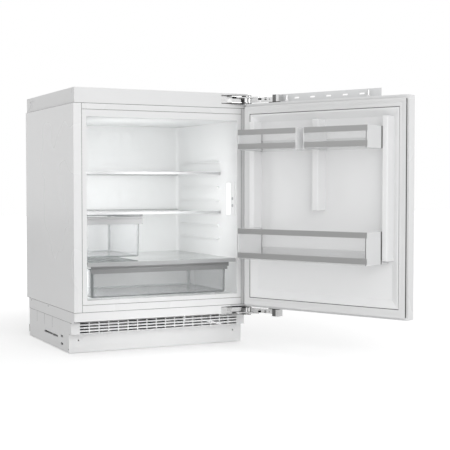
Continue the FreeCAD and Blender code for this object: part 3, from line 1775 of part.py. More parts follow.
def door_ribs(inset):
    """The side dykes and the middle column that the racks hang on."""
    back = shell_inner - size.liner_thickness
    fore = front + size.dyke_front - inset
    low = floor_z + size.dyke_rise + inset
    top = ceiling_z - size.dyke_drop - inset
    outer = band_x - size.dyke_place - inset
    inner = band_x - size.dyke_place - size.dyke_width + inset
    column = size.column_half - inset
    pieces = [
        box(inner, outer, back, fore, low, top),
        box(-outer, -inner, back, fore, low, top),
        box(-column, column, back, fore, ceiling_z - size.column_drop + inset, top),
    ]
    rounded = []
    for piece in pieces:
        doc.recompute()
        item = doc.addObject("Part::Fillet", "Rounded")
        item.Base = piece
        names = edges_at(piece.Shape, y=fore)
        radius = float(size.dyke_round - inset / 2)
        item.Edges = [(int(name[4:]), radius, radius) for name in names]
        rounded.append(item)
    return rounded


def rack_bosses():
    """Small bosses on the dykes and on the column that the racks hook over."""
    inner = band_x - size.dyke_place - size.dyke_width
    column = size.column_half
    grow = size.boss_depth
    seat = size.seam
    y = front + size.boss_place
    tall = size.boss_half
    pieces = []
    levels = (
        (lower_rack_low + size.lower_boss_rise, (inner,)),
        (upper_rack_low + size.upper_boss_rise, (inner, column)),
    )
    for level, faces in levels:
        for face in faces:
            for side in (-1, 1):
                start, end = (face - grow, face + seat) if face is inner else (face - seat, face + grow)
                start, end = (start, end) if side > 0 else (-end, -start)
                pieces.append(box(start, end, y - tall, y + tall, level - tall * 2, level))
    return pieces


def door_liner_and_foam():
    """The moulded inner face of the door, and the foam behind it."""
    skin = size.sheet
    back = shell_inner - size.liner_thickness
    edges = (-half + skin, half - skin)
    heights = (door_low + skin, door_top - skin)
    slab = box(*edges, back, shell_inner, *heights)
    outside = fuse(slab, door_face("LinerFace", zero), *door_ribs(zero))
    thick = size.liner_thickness
    inside = fuse(door_face("FoamFace", thick), *door_ribs(thick))
    node(fuse(cut(outside, inside), *rack_bosses()), "door_liner", swing)
    core = box(*edges, shell_outer + skin, back, *heights)
    node(fuse(core, inside), "door_foam", swing)


def door_gasket():
    """The soft frame around the door's inner face, with a fold along its side."""
    body = new_body("DoorGasket")
    outer = half - size.gasket_side_gap
    face = front - size.gasket_gap
    pad(body, "XZ", shell_inner, face, rectangle(-outer, outer, gasket_low, gasket_top),
        rectangle(-band_x, band_x, band_low, band_top))
    fillet(body, size.gasket_round, y=face, x=(outer, -outer))
    deep = size.gasket_channel_depth
    middle = (shell_inner + face) / 2
    wide = size.gasket_channel / 2
    far = outer + size.overrun
    pocket(body, "XZ", middle - wide, middle + wide,
           rectangle(-far, far, gasket_low - size.overrun, gasket_top + size.overrun),
           rectangle(-outer + deep, outer - deep, gasket_low + deep, gasket_top - deep))
    node(body, "door_gasket", swing)


def crossbar():
    """The angle on the door's top edge that a furniture panel is screwed to."""
    body = new_body("Crossbar")
    plate = size.crossbar_plate
    across = size.crossbar_half
    foot_half = size.crossbar_foot_half
    pad(body, "YZ", -across, across,
        rectangle(shell_outer, shell_outer + plate, door_top, door_top + size.crossbar_height))
    pad(body, "YZ", -foot_half, foot_half,
        rectangle(shell_outer, shell_outer + size.crossbar_foot, door_top,
                  door_top + plate))
    rise = door_top + size.crossbar_slot_rise
    slots = []
    ends = []
    reach = size.crossbar_slot_half
    round_end = size.crossbar_slot_radius
    for step in (-2, -1, 0, 1, 2):
        place = size.crossbar_slot_pitch * step
        slots.append(rectangle(place - reach, place + reach, rise - round_end, rise + round_end))
        ends += [(place - reach, rise, round_end), (place + reach, rise, round_end)]
    pocket(body, "XZ", shell_outer - size.overrun, shell_outer + plate + size.seam, *slots)
    pocket(body, "XZ", shell_outer - size.overrun, shell_outer + plate + size.seam, *ends)
    hole = size.bolt_radius + size.shaft_gap
    y = shell_outer + size.crossbar_foot / 2 + plate / 2
    pocket(body, "XY", door_top - size.overrun, door_top + plate + size.seam,
           (-size.bolt_place, y, hole), (size.bolt_place, y, hole))
    node(body, "crossbar", swing)
    bolts = []
    for side in (-1, 1):
        x = size.bolt_place * side
        bolt = rod(size.bolt_radius, size.bolt_height, x, y, door_top)
        nut = doc.addObject("Part::Prism", "Nut")
        nut.Polygon = 6
        bind(nut, "Circumradius", size.bolt_nut_radius)
        bind(nut, "Height", size.bolt_nut_height)
        for name, value in zip("xyz", (x, y, door_top + plate)):
            bind(nut, f"Placement.Base.{name}", value)
        bolts.append(fuse(bolt, nut))
    node(group(*bolts), "crossbar_bolts", swing)


# door racks


def rack(label, left, right, low, tall, boss_rise, caps):
    """A rack: tray with end walls, slots that hook on the bosses, and two metal strips."""
    wall = size.rack_wall
    fore = front + size.rack_front
    panel = fore - size.strip
    back = field_y + size.rack_back_gap
    top = low + tall
    body = new_body("RackTray")
    pad(body, "XY", low, low + size.rack_floor, rectangle(left, right, back, panel))
    pad(body, "XZ", panel - size.rack_front_wall, panel,
        rectangle(left, right, low, top - size.strip))
    pad(body, "XZ", back, back + size.rack_front_wall,
        rectangle(left, right, low, low + size.rack_back_height))
    pad(body, "YZ", left, left + caps[0], rectangle(back, panel, low, top))
    pad(body, "YZ", right - caps[1], right, rectangle(back, panel, low, top))
    fillet(body, size.rack_corner, y=back, z=top)
    y = front + size.boss_place
    gap = size.running_gap
    tall_slot = low + boss_rise + gap
    slot = rectangle(y - size.boss_half - gap, y + size.boss_half + gap,
                     low - size.overrun, tall_slot)
    deep = size.boss_depth + gap
    pocket(body, "YZ", left - size.overrun, left + deep, slot)
    pocket(body, "YZ", right - deep, right + size.overrun, slot)
    node(body, f"{label}_tray", swing)
    strips = []
    high = size.strip_height / 2
    start = left if float(caps[0]) <= float(wall) else left + caps[0]
    end = right if float(caps[1]) <= float(wall) else right - caps[1]
    for middle in (low + size.lower_strip_rise, top - size.lower_strip_rise + high / 2):
        strip = new_body("Strip")
        pad(strip, "XZ", panel, fore, rectangle(start, end, middle - high, middle + high))
        strips.append(strip)
    node(group(*strips), f"{label}_strips", swing)


def door_racks():
    """The full-width bottle rack and the two short racks above it."""
    outer = band_x - size.dyke_place - size.dyke_width - size.rack_side_gap
    inner = size.column_half + size.rack_side_gap
    wall = size.rack_wall
    rack("lower_rack", -outer, outer, lower_rack_low, size.lower_rack_height,
         size.lower_boss_rise, (wall, wall))
    rack("hinge_side_rack", inner, outer, upper_rack_low, size.upper_rack_height,
         size.upper_boss_rise, (size.rack_cap, wall))
    rack("free_side_rack", -outer, -inner, upper_rack_low, size.upper_rack_height,
         size.upper_boss_rise, (wall, size.rack_cap))


def check_model():
    """Stop if any object failed, or a cut took nothing away."""
    faults = []
    for item in doc.Objects:
        if "Invalid" in item.State or "Error" in item.State:
            faults.append(f"{item.Name} ({item.Label}) failed")
        elif item.TypeId == "PartDesign::Pocket":
            if item.BaseFeature.Shape.Volume - item.Shape.Volume < 1e-3:
                faults.append(f"{item.Name} cuts nothing")
    for item in nodes:
        if item.Shape.isNull() or not item.Shape.isValid():
            faults.append(f"{item.Label} has no valid shape")
    if faults:
        raise RuntimeError("; ".join(faults))


def main():
    side_panel("side_panel_left", -1)
    side_panel("side_panel_right", 1)
    top_panel()
    bottom_panel()
    back_panel()
    insulation()
    inner_liner()
    evaporator()
    for name, height in (("upper", upper_shelf_z), ("middle", middle_shelf_z)):
        shelf_glass(f"{name}_shelf_glass", height)
        shelf_trims(f"{name}_shelf_trims", height)
    drawer_cover()
    small_drawer()
    bottom_drawer()
    light_unit()
    top_fascia()
    top_frame()
    lower_fascia()
    base_side("base_side_left", -1)
    base_side("base_side_right", 1)
    vent_grille()
    plinth_panel()
    base_plate()
    for label, (x, y) in foot_places().items():
        foot(label, x, y)
    compressor()
    evaporation_tray()
    condenser()
    fan_frame()
    fan_rotor()
    refrigerant_pipes()
    mains_inlet()
    pair = ((1, upper_hinge_z), (-1, lower_hinge_z))
    node(group(*[hinge_bracket(*place) for place in pair]), "hinge_brackets")
    node(group(*[hinge_leaf(*place) for place in pair]), "hinge_leaves", swing)
    node(group(*[hinge_link(*place) for place in pair]), "hinge_links", swing)
    hinge_pins()
    leaf_screws()
    door_shell()
    door_liner_and_foam()
    door_gasket()
    crossbar()
    door_racks()
    doc.recompute()
    check_model()
    os.makedirs("parts", exist_ok=True)
    for item in nodes:
        item.Shape.exportStep(f"parts/{item.Label}.step")
        box_of = item.Shape.BoundBox
        print(f"{item.Label}: {len(item.Shape.Solids)} solids, {item.Shape.Volume / 1000:.1f} cm3, "
              f"x {box_of.XMin:.1f} {box_of.XMax:.1f} y {box_of.YMin:.1f} {box_of.YMax:.1f} "
              f"z {box_of.ZMin:.1f} {box_of.ZMax:.1f}")
    print(len(nodes), "sub-parts")


main()
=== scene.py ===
# %% [markdown]
# A fridge that is built in under a worktop, standing with its door open.
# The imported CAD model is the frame: every steel sheet, moulding, shelf, drawer and hinge
# already has its place and its body there. This script gives each of them its finish,
# adds the pieces that a CAD tessellation draws too plainly, and sets up a small studio.

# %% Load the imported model
import json
import math

import bmesh
import bpy
import numpy as np
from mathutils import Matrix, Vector


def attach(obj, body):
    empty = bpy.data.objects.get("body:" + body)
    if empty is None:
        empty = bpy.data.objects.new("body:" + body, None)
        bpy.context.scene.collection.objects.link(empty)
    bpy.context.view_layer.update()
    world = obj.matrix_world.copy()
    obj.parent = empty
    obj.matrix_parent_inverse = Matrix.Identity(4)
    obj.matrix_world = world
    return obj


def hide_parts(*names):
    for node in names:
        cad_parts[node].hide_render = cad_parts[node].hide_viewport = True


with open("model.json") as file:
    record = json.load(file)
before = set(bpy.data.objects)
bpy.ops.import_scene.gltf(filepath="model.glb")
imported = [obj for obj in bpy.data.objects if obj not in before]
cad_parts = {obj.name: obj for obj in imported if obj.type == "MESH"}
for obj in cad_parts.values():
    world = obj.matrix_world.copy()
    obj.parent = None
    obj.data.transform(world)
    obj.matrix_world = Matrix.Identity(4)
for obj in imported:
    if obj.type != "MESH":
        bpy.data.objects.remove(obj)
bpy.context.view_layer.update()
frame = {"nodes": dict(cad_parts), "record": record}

nodes = frame["nodes"]

# %% [markdown]
# The photograph was taken from the left, about a metre to the side of the cabinet's middle
# and three metres in front of it, with a longish lens at worktop height. A camera is a place,
# a direction and a lens, so those three are worked out and nothing else is touched.

# %% Place the camera
CAMERA_PLACE = Vector((-1.2828, -3.305, 0.5218))
CAMERA_TURN = math.radians(26.2)
CAMERA_TILT = math.radians(-2.18)
CAMERA_LENS = 83.38

look = Vector((
    math.sin(CAMERA_TURN) * math.cos(CAMERA_TILT),
    math.cos(CAMERA_TURN) * math.cos(CAMERA_TILT),
    math.sin(CAMERA_TILT),
))
camera_data = bpy.data.cameras.new("camera")
camera_data.lens = CAMERA_LENS
camera_data.sensor_width = 36.0
camera_data.clip_end = 60.0
camera = bpy.data.objects.new("camera", camera_data)
camera.location = CAMERA_PLACE
camera.rotation_euler = look.to_track_quat("-Z", "Y").to_euler()
bpy.context.scene.collection.objects.link(camera)
bpy.context.scene.camera = camera
bpy.context.scene.view_settings.view_transform = "Standard"
print("camera looks along", [round(value, 3) for value in look])

# %% [markdown]
# A material is a small graph. These three helpers keep the graphs short: one adds a node with
# its settings, one joins two sockets, and one starts a material with its Principled shader.

# %% Short helpers for node graphs


def add_node(tree, kind, **settings):
    """A node of a kind; settings are its properties, and inputs is a dict of socket values."""
    inputs = settings.pop("inputs", {})
    item = tree.nodes.new(kind)
    for name, value in settings.items():
        setattr(item, name, value)
    for name, value in inputs.items():
        item.inputs[name].default_value = value
    return item


def join(tree, start, end):
    """Join an output socket to an input socket."""
    tree.links.new(start, end)


def start_material(name, **shader_values):
    """A material with its Principled shader, whose plain values are set on the shader itself."""
    material = bpy.data.materials.new(name)
    material.use_nodes = True
    tree = material.node_tree
    shader = tree.nodes["Principled BSDF"]
    for socket, value in shader_values.items():
        shader.inputs[socket].default_value = value
    return material, tree, shader


# %% [markdown]
# Most of this object is painted steel or moulded plastic. Both look plain from afar and close up
# show the same things in different amounts: a fine skin of orange peel or moulded grain, a tone
# that drifts a little over the sheet, and patches that are a touch glossier where hands wiped it.
# One node group makes all three, and each material gives it its own numbers.

# %% A node group for painted and moulded skins
FLOAT = "NodeSocketFloat"
COLOUR = "NodeSocketColor"
VECTOR = "NodeSocketVector"


def new_group(name, inputs, outputs):
    """An empty node group with named sockets; returns its tree, its input and its output node."""
    tree = bpy.data.node_groups.new(name, "ShaderNodeTree")
    for label, kind, value in inputs:
        socket = tree.interface.new_socket(name=label, in_out="INPUT", socket_type=kind)
        if value is not None:
            socket.default_value = value
    for label, kind in outputs:
        tree.interface.new_socket(name=label, in_out="OUTPUT", socket_type=kind)
    return tree, tree.nodes.new("NodeGroupInput"), tree.nodes.new("NodeGroupOutput")


def span(tree, value, low, high):
    """Carry a mask from 0..1 to low..high; low and high are sockets or numbers."""
    item = add_node(tree, "ShaderNodeMapRange")
    join(tree, value, item.inputs["Value"])
    for name, end in (("To Min", low), ("To Max", high)):
        if isinstance(end, (int, float)):
            item.inputs[name].default_value = end
        else:
            join(tree, end, item.inputs[name])
    return item.outputs["Result"]


def new_pattern(name, inputs):
    """A group that takes two tones and two roughness limits besides its own inputs."""
    pale = (0.8, 0.8, 0.8, 1.0)
    limits = [("Tone", COLOUR, pale), ("Second tone", COLOUR, pale),
              ("Roughness low", FLOAT, 0.3), ("Roughness high", FLOAT, 0.4)]
    return new_group(name, inputs + limits,
                     [("Colour", COLOUR), ("Roughness", FLOAT), ("Height", FLOAT)])


def fill_pattern(tree, given, result, blend, gloss, height):
    """Blend runs from one tone to the other, gloss from one roughness limit to the other."""
    tone = add_node(tree, "ShaderNodeMix", data_type="RGBA")
    join(tree, blend, tone.inputs["Factor"])
    join(tree, given.outputs["Tone"], tone.inputs["A"])
    join(tree, given.outputs["Second tone"], tone.inputs["B"])
    join(tree, tone.outputs["Result"], result.inputs["Colour"])
    rough = span(tree, gloss, given.outputs["Roughness low"], given.outputs["Roughness high"])
    join(tree, rough, result.inputs["Roughness"])
    join(tree, height, result.inputs["Height"])


def make_skin_group():
    """Fine noise is the skin's grain; broad noise is the drift of its tone and roughness."""
    tree, given, result = new_pattern(
        "skin", [("Grain scale", FLOAT, 900.0), ("Drift scale", FLOAT, 3.0)])
    place = add_node(tree, "ShaderNodeTexCoord")
    grain = add_node(tree, "ShaderNodeTexNoise", inputs={"Detail": 3.0, "Roughness": 0.55})
    join(tree, place.outputs["Object"], grain.inputs["Vector"])
    join(tree, given.outputs["Grain scale"], grain.inputs["Scale"])
    drift = add_node(tree, "ShaderNodeTexNoise", inputs={"Detail": 2.0, "Roughness": 0.5})
    join(tree, place.outputs["Object"], drift.inputs["Vector"])
    join(tree, given.outputs["Drift scale"], drift.inputs["Scale"])
    value = drift.outputs["Fac"]
    fill_pattern(tree, given, result, value, value, grain.outputs["Fac"])
    return tree


skin_group = make_skin_group()
print("group", skin_group.name, "with", len(skin_group.nodes), "nodes")

# %% [markdown]
# Brushed or drawn metal has fine lines along one direction. Noise that is stretched a hundred
# times along that direction gives them. The door's strips lie turned with the door, so each
# material turns the pattern with a Mapping node before it reaches the group.

# %% A node group for brushed metal


def make_brushed_group():
    """Tone, roughness and height of drawn metal: noise that is stretched along one axis."""
    tree, given, result = new_pattern("brushed", [("Place", VECTOR, None)])
    lines = add_node(tree, "ShaderNodeTexNoise",
                     inputs={"Scale": 1.0, "Detail": 4.0, "Roughness": 0.6})
    join(tree, given.outputs["Place"], lines.inputs["Vector"])
    value = lines.outputs["Fac"]
    fill_pattern(tree, given, result, value, value, value)
    return tree


brushed_group = make_brushed_group()
print("group", brushed_group.name, "with", len(brushed_group.nodes), "nodes")

# %% [markdown]
# Sheets and mouldings meet in narrow gaps, and from a few metres the shade in such a gap is a thin
# dark line, which is painted into the colour here. The lines lie at a few fixed heights and at one
# distance from the middle, so a mask can draw them on whichever piece is there: it is 1 close to a
# line and 0 elsewhere. Two of them run around the whole cabinet, others only show on its front,
# and the moulded sides of the base have grooves, whose shade is painted the same way, and dark
# screw heads of their own.

# %% A mask for the painted shade in the cabinet's seams
SEAM_HALF = 0.0007
SEAM_SIDE = 0.2722
SEAM_TOP = 0.7725
SEAM_FOOT = 0.132
LIP_TOP = 0.7538
LIP_FOOT = 0.1544
FRONT_DEPTH = -0.2495
CABINET_FRONT = -0.2662
BASE_BAND = 0.097
BASE_SEAM_FOOT = 0.060
BASE_SEAMS = (-0.0308, 0.0570, 0.1448)
BASE_SCREWS = ((0.010, 0.1265), (0.210, 0.1265), (-0.200, 0.012))
SCREW_RADIUS = 0.0026
BASE_FACE = 0.2958


def compare(tree, kind, first, second):
    """A Math node on two values, each of them a socket or a number."""
    item = add_node(tree, "ShaderNodeMath", operation=kind)
    for index, value in enumerate((first, second)):
        if isinstance(value, (int, float)):
            item.inputs[index].default_value = value
        else:
            join(tree, value, item.inputs[index])
    return item.outputs["Value"]


def both(tree, *masks):
    """The product of masks: 1 where every one of them is 1."""
    total = masks[0]
    for mask in masks[1:]:
        total = compare(tree, "MULTIPLY", total, mask)
    return total


def either(tree, *masks):
    """The highest of masks: 1 where any of them is 1."""
    total = masks[0]
    for mask in masks[1:]:
        total = compare(tree, "MAXIMUM", total, mask)
    return total


def over(tree, value, limit):
    """1 where the value is above the limit."""
    return compare(tree, "GREATER_THAN", value, limit)


def under(tree, value, limit):
    """1 where the value is below the limit."""
    return compare(tree, "LESS_THAN", value, limit)


def between(tree, value, low, high):
    """1 where the value is above low and below high."""
    return both(tree, over(tree, value, low), under(tree, value, high))


def distance(tree, value, line):
    """How far the value lies from the line, on either side."""
    return compare(tree, "ABSOLUTE", compare(tree, "SUBTRACT", value, line), 0.0)


def squared_reach(tree, first, second, centre):
    """The squared distance of two coordinates from a centre."""
    run = compare(tree, "POWER", compare(tree, "SUBTRACT", first, centre[0]), 2.0)
    rise = compare(tree, "POWER", compare(tree, "SUBTRACT", second, centre[1]), 2.0)
    return compare(tree, "ADD", run, rise)


def near(tree, value, line, half=SEAM_HALF):
    """1 where the value is less than half a width away from the line."""
    return under(tree, distance(tree, value, line), half)


def axes(tree, given):
    """The three coordinates of a group's place."""
    parts = add_node(tree, "ShaderNodeSeparateXYZ")
    join(tree, given.outputs["Place"], parts.inputs["Vector"])
    return [parts.outputs[axis] for axis in "XYZ"]


def new_mask(name):
    """A group from a place to a mask: its tree, the mask's socket and the three coordinates."""
    tree, given, result = new_group(name, [("Place", VECTOR, None)], [("Mask", FLOAT)])
    return tree, result.inputs["Mask"], axes(tree, given)


def make_seam_shade_group():
    """Painted seam shade: two around the cabinet, four on its front, the base's grooves; its screw
    heads.
    """
    tree, mask, (side, depth, height) = new_mask("seam_shade")
    away = distance(tree, side, 0.0)
    # painted shade in the seams that run around the cabinet and on its front
    level = either(tree, near(tree, height, SEAM_TOP), near(tree, height, SEAM_FOOT))
    lip = either(tree, near(tree, height, LIP_TOP), near(tree, height, LIP_FOOT))
    lip = both(tree, lip, under(tree, away, SEAM_SIDE))
    upright = both(tree, near(tree, away, SEAM_SIDE), between(tree, height, SEAM_FOOT, SEAM_TOP))
    front = both(tree, either(tree, lip, upright), under(tree, depth, FRONT_DEPTH))
    # painted shade in the base's band line and grooves, and its dark screw heads
    base = near(tree, height, BASE_BAND)
    for line in BASE_SEAMS:
        groove = both(tree, near(tree, depth, line),
                      between(tree, height, BASE_SEAM_FOOT, BASE_BAND))
        base = either(tree, base, groove)
    for centre in BASE_SCREWS:
        reach = squared_reach(tree, depth, height, centre)
        base = either(tree, base, under(tree, reach, SCREW_RADIUS ** 2))
    base = both(tree, base, under(tree, height, SEAM_FOOT), over(tree, away, BASE_FACE))
    lines = either(tree, front, level, base)
    join(tree, both(tree, lines, over(tree, depth, CABINET_FRONT)), mask)
    return tree


seam_shade_group = make_seam_shade_group()
print("group", seam_shade_group.name, "with", len(seam_shade_group.nodes), "nodes")

# %% [markdown]
# Zinc on a galvanised sheet freezes in flat crystals, each a little lighter or darker and a little
# glossier or duller than the next. A cell texture gives every crystal one value of its own.

# %% A node group for galvanised sheet


def make_spangle_group():
    """Tone, roughness and height from one value for each crystal."""
    tree, given, result = new_pattern("spangle", [("Place", VECTOR, None)])
    cells = add_node(tree, "ShaderNodeTexVoronoi", inputs={"Scale": 1.0, "Randomness": 1.0})
    join(tree, given.outputs["Place"], cells.inputs["Vector"])
    parts = add_node(tree, "ShaderNodeSeparateColor")
    join(tree, cells.outputs["Color"], parts.inputs["Color"])
    value = parts.outputs["Red"]
    fill_pattern(tree, given, result, value, parts.outputs["Green"], value)
    return tree


spangle_group = make_spangle_group()
print("group", spangle_group.name, "with", len(spangle_group.nodes), "nodes")

# %% [markdown]
# Now the finishes. Each line below is one finish of the real object: its two tones, how rough it
# is, how coarse its grain is and how deep. The depth is in metres, because the bump node
# measures height in the scene's unit.

# %% Painted steel, moulded plastic and rubber


def grey(value, warm=0.0):
    """A near-neutral colour; warm shifts it towards yellow, or towards blue if it is negative."""
    return (value * (1 + warm), value, value * (1 - warm), 1.0)


BUMP_STRENGTH = 0.6
# the colour of the painted shade in the seams and grooves, also used for the screw heads
SEAM_SHADE_TONE = grey(0.10)


def shade(tree, colour, mask, tone):
    """The colour where the mask is 0, and the tone where it is 1."""
    item = add_node(tree, "ShaderNodeMix", data_type="RGBA", inputs={"B": tone})
    join(tree, mask, item.inputs["Factor"])
    join(tree, colour, item.inputs["A"])
    return item.outputs["Result"]


def add_skin(tree, tone, second, rough, grain, drift=3.0):
    """The skin group with one finish's numbers; rough is its lowest and highest roughness."""
    return add_node(tree, "ShaderNodeGroup", node_tree=skin_group, inputs={
        "Tone": tone, "Second tone": second, "Grain scale": grain, "Drift scale": drift,
        "Roughness low": rough[0], "Roughness high": rough[1],
    })


def add_placed(tree, group, place, **settings):
    """A group that draws by place, joined to that place."""
    item = add_node(tree, "ShaderNodeGroup", node_tree=group, **settings)
    join(tree, place, item.inputs["Place"])
    return item


def wire(tree, shader, pattern, depth, colour=None):
    """Feed a pattern's roughness and height to the shader, and a colour where one is given."""
    if colour is not None:
        join(tree, colour, shader.inputs["Base Color"])
    join(tree, pattern.outputs["Roughness"], shader.inputs["Roughness"])
    bump = add_node(tree, "ShaderNodeBump", inputs={"Strength": BUMP_STRENGTH, "Distance": depth})
    join(tree, pattern.outputs["Height"], bump.inputs["Height"])
    join(tree, bump.outputs["Normal"], shader.inputs["Normal"])


def skin_material(name, tone, second, rough, grain, depth, seam_shade=False, **shader_values):
    """A finish from the skin group, painted, moulded or rubber; with or without painted seam
    shade.
    """
    material, tree, shader = start_material(name, **shader_values)
    skin = add_skin(tree, tone, second, rough, grain)
    colour = skin.outputs["Colour"]
    if seam_shade:
        # paint the shade of the seams and grooves into the colour, and the screw heads dark
        place = add_node(tree, "ShaderNodeTexCoord")
        lines = add_placed(tree, seam_shade_group, place.outputs["Object"])
        colour = shade(tree, colour, lines.outputs["Mask"], SEAM_SHADE_TONE)
    wire(tree, shader, skin, depth, colour)
    return material


finishes = {
    "white_steel": skin_material(
        "white_enamelled_steel", grey(0.79, -0.004), grey(0.82, -0.002), (0.22, 0.32),
        420.0, 0.00006, True, **{"Coat Weight": 0.25, "Coat Roughness": 0.12}),
    "white_moulding": skin_material(
        "white_moulding", grey(0.78, -0.004), grey(0.805, 0.0), (0.34, 0.46), 1400.0, 0.00005,
        True),
    "liner": skin_material(
        "moulded_liner", grey(0.80, -0.004), grey(0.82, -0.002), (0.30, 0.42), 700.0, 0.00005,
        True),
    "foam": skin_material(
        "rigid_foam", grey(0.62, 0.10), grey(0.70, 0.12), (0.85, 0.95), 260.0, 0.0012),
    "trim": skin_material(
        "clear_grey_trim", grey(0.42, -0.01), grey(0.46, -0.008), (0.20, 0.30), 900.0, 0.00003),
    "crossbar_paint": skin_material(
        "pale_painted_steel", grey(0.70, -0.008), grey(0.73, -0.006), (0.28, 0.38), 420.0,
        0.00006),
    "black_steel": skin_material(
        "black_painted_steel", grey(0.018), grey(0.026), (0.30, 0.42), 300.0, 0.0001),
    "black_rubber": skin_material(
        "black_rubber", grey(0.022), grey(0.032), (0.70, 0.85), 1200.0, 0.0001),
    "dark_plastic": skin_material(
        "dark_plastic", grey(0.045), grey(0.06), (0.45, 0.6), 1500.0, 0.00006),
    "button": skin_material(
        "button_plastic", grey(0.42, -0.02), grey(0.46, -0.02), (0.25, 0.35), 1500.0, 0.00003),
}
print(len(finishes), "skins")

# %% [markdown]
# The hinges are bright nickel, but they sit in deep pockets, and that shade is painted into their
# colour: their upper and lower edges, the nook beside the bracket's block and the grooves around
# the pin and the leaf's screw are painted nearly black. The leaf has a dark eye, two dark holes
# behind it and a dark cap on the corner of its block. A mask on the distance from each hinge's
# middle and from each turning axis gives those places.

# %% A mask for the hinges
HINGE_MIDDLES = (0.112, 0.800)
HINGE_RIM = 0.0112
HINGE_NOOK = 0.0076
NOOK_SPAN = (0.2640, 0.2790)
# centre of a turning axis, then the ring's inner and outer radius
HINGE_RINGS = (
    ((0.2910, -0.2860), (0.0080, 0.0105)),
    ((0.3437, -0.3812), (0.0062, 0.0105)),
)
# depth and half width of a mark, then its span away from the hinge's middle
HINGE_MARKS = ((-0.3265, 0.0040, -1.0, 0.0030), (-0.3454, 0.0042, 0.0016, 0.0039))
HINGE_CAP = (0.3335, -0.3725)
CAP_SHARE = 0.8
# the colour of the painted shade on the hinges, and of their dark marks and cap
HINGE_SHADE_AND_MARK_TONE = grey(0.03)


def make_hinge_group():
    """1 on the edges, in the nook, around each axis and on the marks; the share on the cap."""
    tree, mask, (side, depth, height) = new_mask("hinge shade")
    aways = [distance(tree, height, middle) for middle in HINGE_MIDDLES]
    away = compare(tree, "MINIMUM", *aways)
    # painted shade on the upper and lower edges and in the nook
    nook = both(tree, between(tree, side, *NOOK_SPAN), over(tree, away, HINGE_NOOK))
    dark = either(tree, over(tree, away, HINGE_RIM), nook)
    # painted shade in the grooves around the pin and around the leaf's screw
    for centre, (inner, outer) in HINGE_RINGS:
        reach = squared_reach(tree, side, depth, centre)
        dark = either(tree, dark, between(tree, reach, inner ** 2, outer ** 2))
    for line, half, inner, outer in HINGE_MARKS:
        mark = both(tree, near(tree, depth, line, half), between(tree, away, inner, outer))
        dark = either(tree, dark, mark)
    cap = both(tree, under(tree, side, HINGE_CAP[0]), under(tree, depth, HINGE_CAP[1]), CAP_SHARE)
    join(tree, either(tree, dark, cap), mask)
    return tree


hinge_group = make_hinge_group()
print("group", hinge_group.name, "with", len(hinge_group.nodes), "nodes")

# %% [markdown]
# Every metal here uses a pattern group for its lines or crystals. A Mapping node stretches the
# pattern along the way the metal was drawn, and turns it where a strip lies with the door.

# %% Brushed, plated and galvanised metal


def metal_material(name, tone, second, rough, stretch, turn, depth, pattern=brushed_group,
                   shadows=None):
    """A metal finish; stretch is the pattern's scale along X, Y, Z, turn its angle about Z."""
    material, tree, shader = start_material(name, Metallic=1.0)
    place = add_node(tree, "ShaderNodeTexCoord")
    mapping = add_node(tree, "ShaderNodeMapping", inputs={
        "Rotation": (0.0, 0.0, turn), "Scale": stretch,
    })
    join(tree, place.outputs["Object"], mapping.inputs["Vector"])
    lines = add_placed(tree, pattern, mapping.outputs["Vector"], inputs={
        "Tone": tone, "Second tone": second, "Roughness low": rough[0], "Roughness high": rough[1],
    })
    colour = lines.outputs["Colour"]
    # painted shade from the shadows mask, such as on the hinges
    if shadows is not None:
        folds = add_placed(tree, shadows, place.outputs["Object"])
        colour = shade(tree, colour, folds.outputs["Mask"], HINGE_SHADE_AND_MARK_TONE)
    wire(tree, shader, lines, depth, colour)
    return material


ALONG_X = (8.0, 1400.0, 1400.0)
finishes.update({
    "rack_strip": metal_material("satin_aluminium_door", grey(0.36), grey(0.44),
                                 (0.26, 0.36), ALONG_X, math.radians(-115.0), 0.00003),
    "aluminium": metal_material("plain_aluminium", grey(0.55), grey(0.62), (0.35, 0.5),
                                (160.0, 160.0, 160.0), 0.0, 0.00008),
    "galvanised_steel": metal_material("galvanised_steel", grey(0.46), grey(0.62), (0.34, 0.54),
                                       (95.0, 95.0, 95.0), 0.0, 0.00003, spangle_group),
    "hinge_steel": metal_material("nickel_plated_steel", grey(0.62), grey(0.86), (0.12, 0.26),
                                  (150.0, 150.0, 150.0), 0.0, 0.00004, shadows=hinge_group),
    # dark from dust, and from painted shade of the cavity behind the grille
    "dust_and_shade_fins": metal_material("aluminium_fins_dust_and_shade", grey(0.16), grey(0.22), (0.5, 0.65),
                                 (160.0, 160.0, 160.0), 0.0, 0.00008),
    # a near-black tone on the base plate paints the shade of the cavity behind the grille
    "dull_plate_painted_shade": metal_material("dull_base_plate_painted_shade", grey(0.10), grey(0.17), (0.45, 0.6),
                                 (90.0, 90.0, 90.0), 0.0, 0.00006),
    "copper": metal_material("copper", (0.62, 0.30, 0.17, 1.0), (0.72, 0.38, 0.24, 1.0),
                             (0.25, 0.4), (200.0, 200.0, 200.0), 0.0, 0.00005),
})
print(len(finishes), "finishes with the metals")

# %% [markdown]
# Shelf glass is a real solid with two faces, so it can bend light as glass does: a plain
# transmission, and a faint waviness that comes from rolling. The tone is a little green,
# because float glass is.

# %% Shelf glass
GLASS_SHADOW = 0.1


def glass_material(name, tone, rough, grain, depth):
    """Glass with a plain tone and full transmission; lamps shine through nearly unweakened."""
    material, tree, shader = start_material(name, **{
        "Base Color": tone, "Transmission Weight": 1.0, "IOR": 1.5,
    })
    rays = add_node(tree, "ShaderNodeLightPath")
    cast = span(tree, rays.outputs["Is Shadow Ray"], 1.0, GLASS_SHADOW)
    join(tree, cast, shader.inputs["Alpha"])
    wire(tree, shader, add_skin(tree, tone, tone, rough, grain, 4.0), depth)
    return material


finishes["glass"] = glass_material("shelf_glass", (0.95, 0.985, 0.975, 1.0), (0.01, 0.04),
                                   60.0, 0.00002)
print("glass ready")

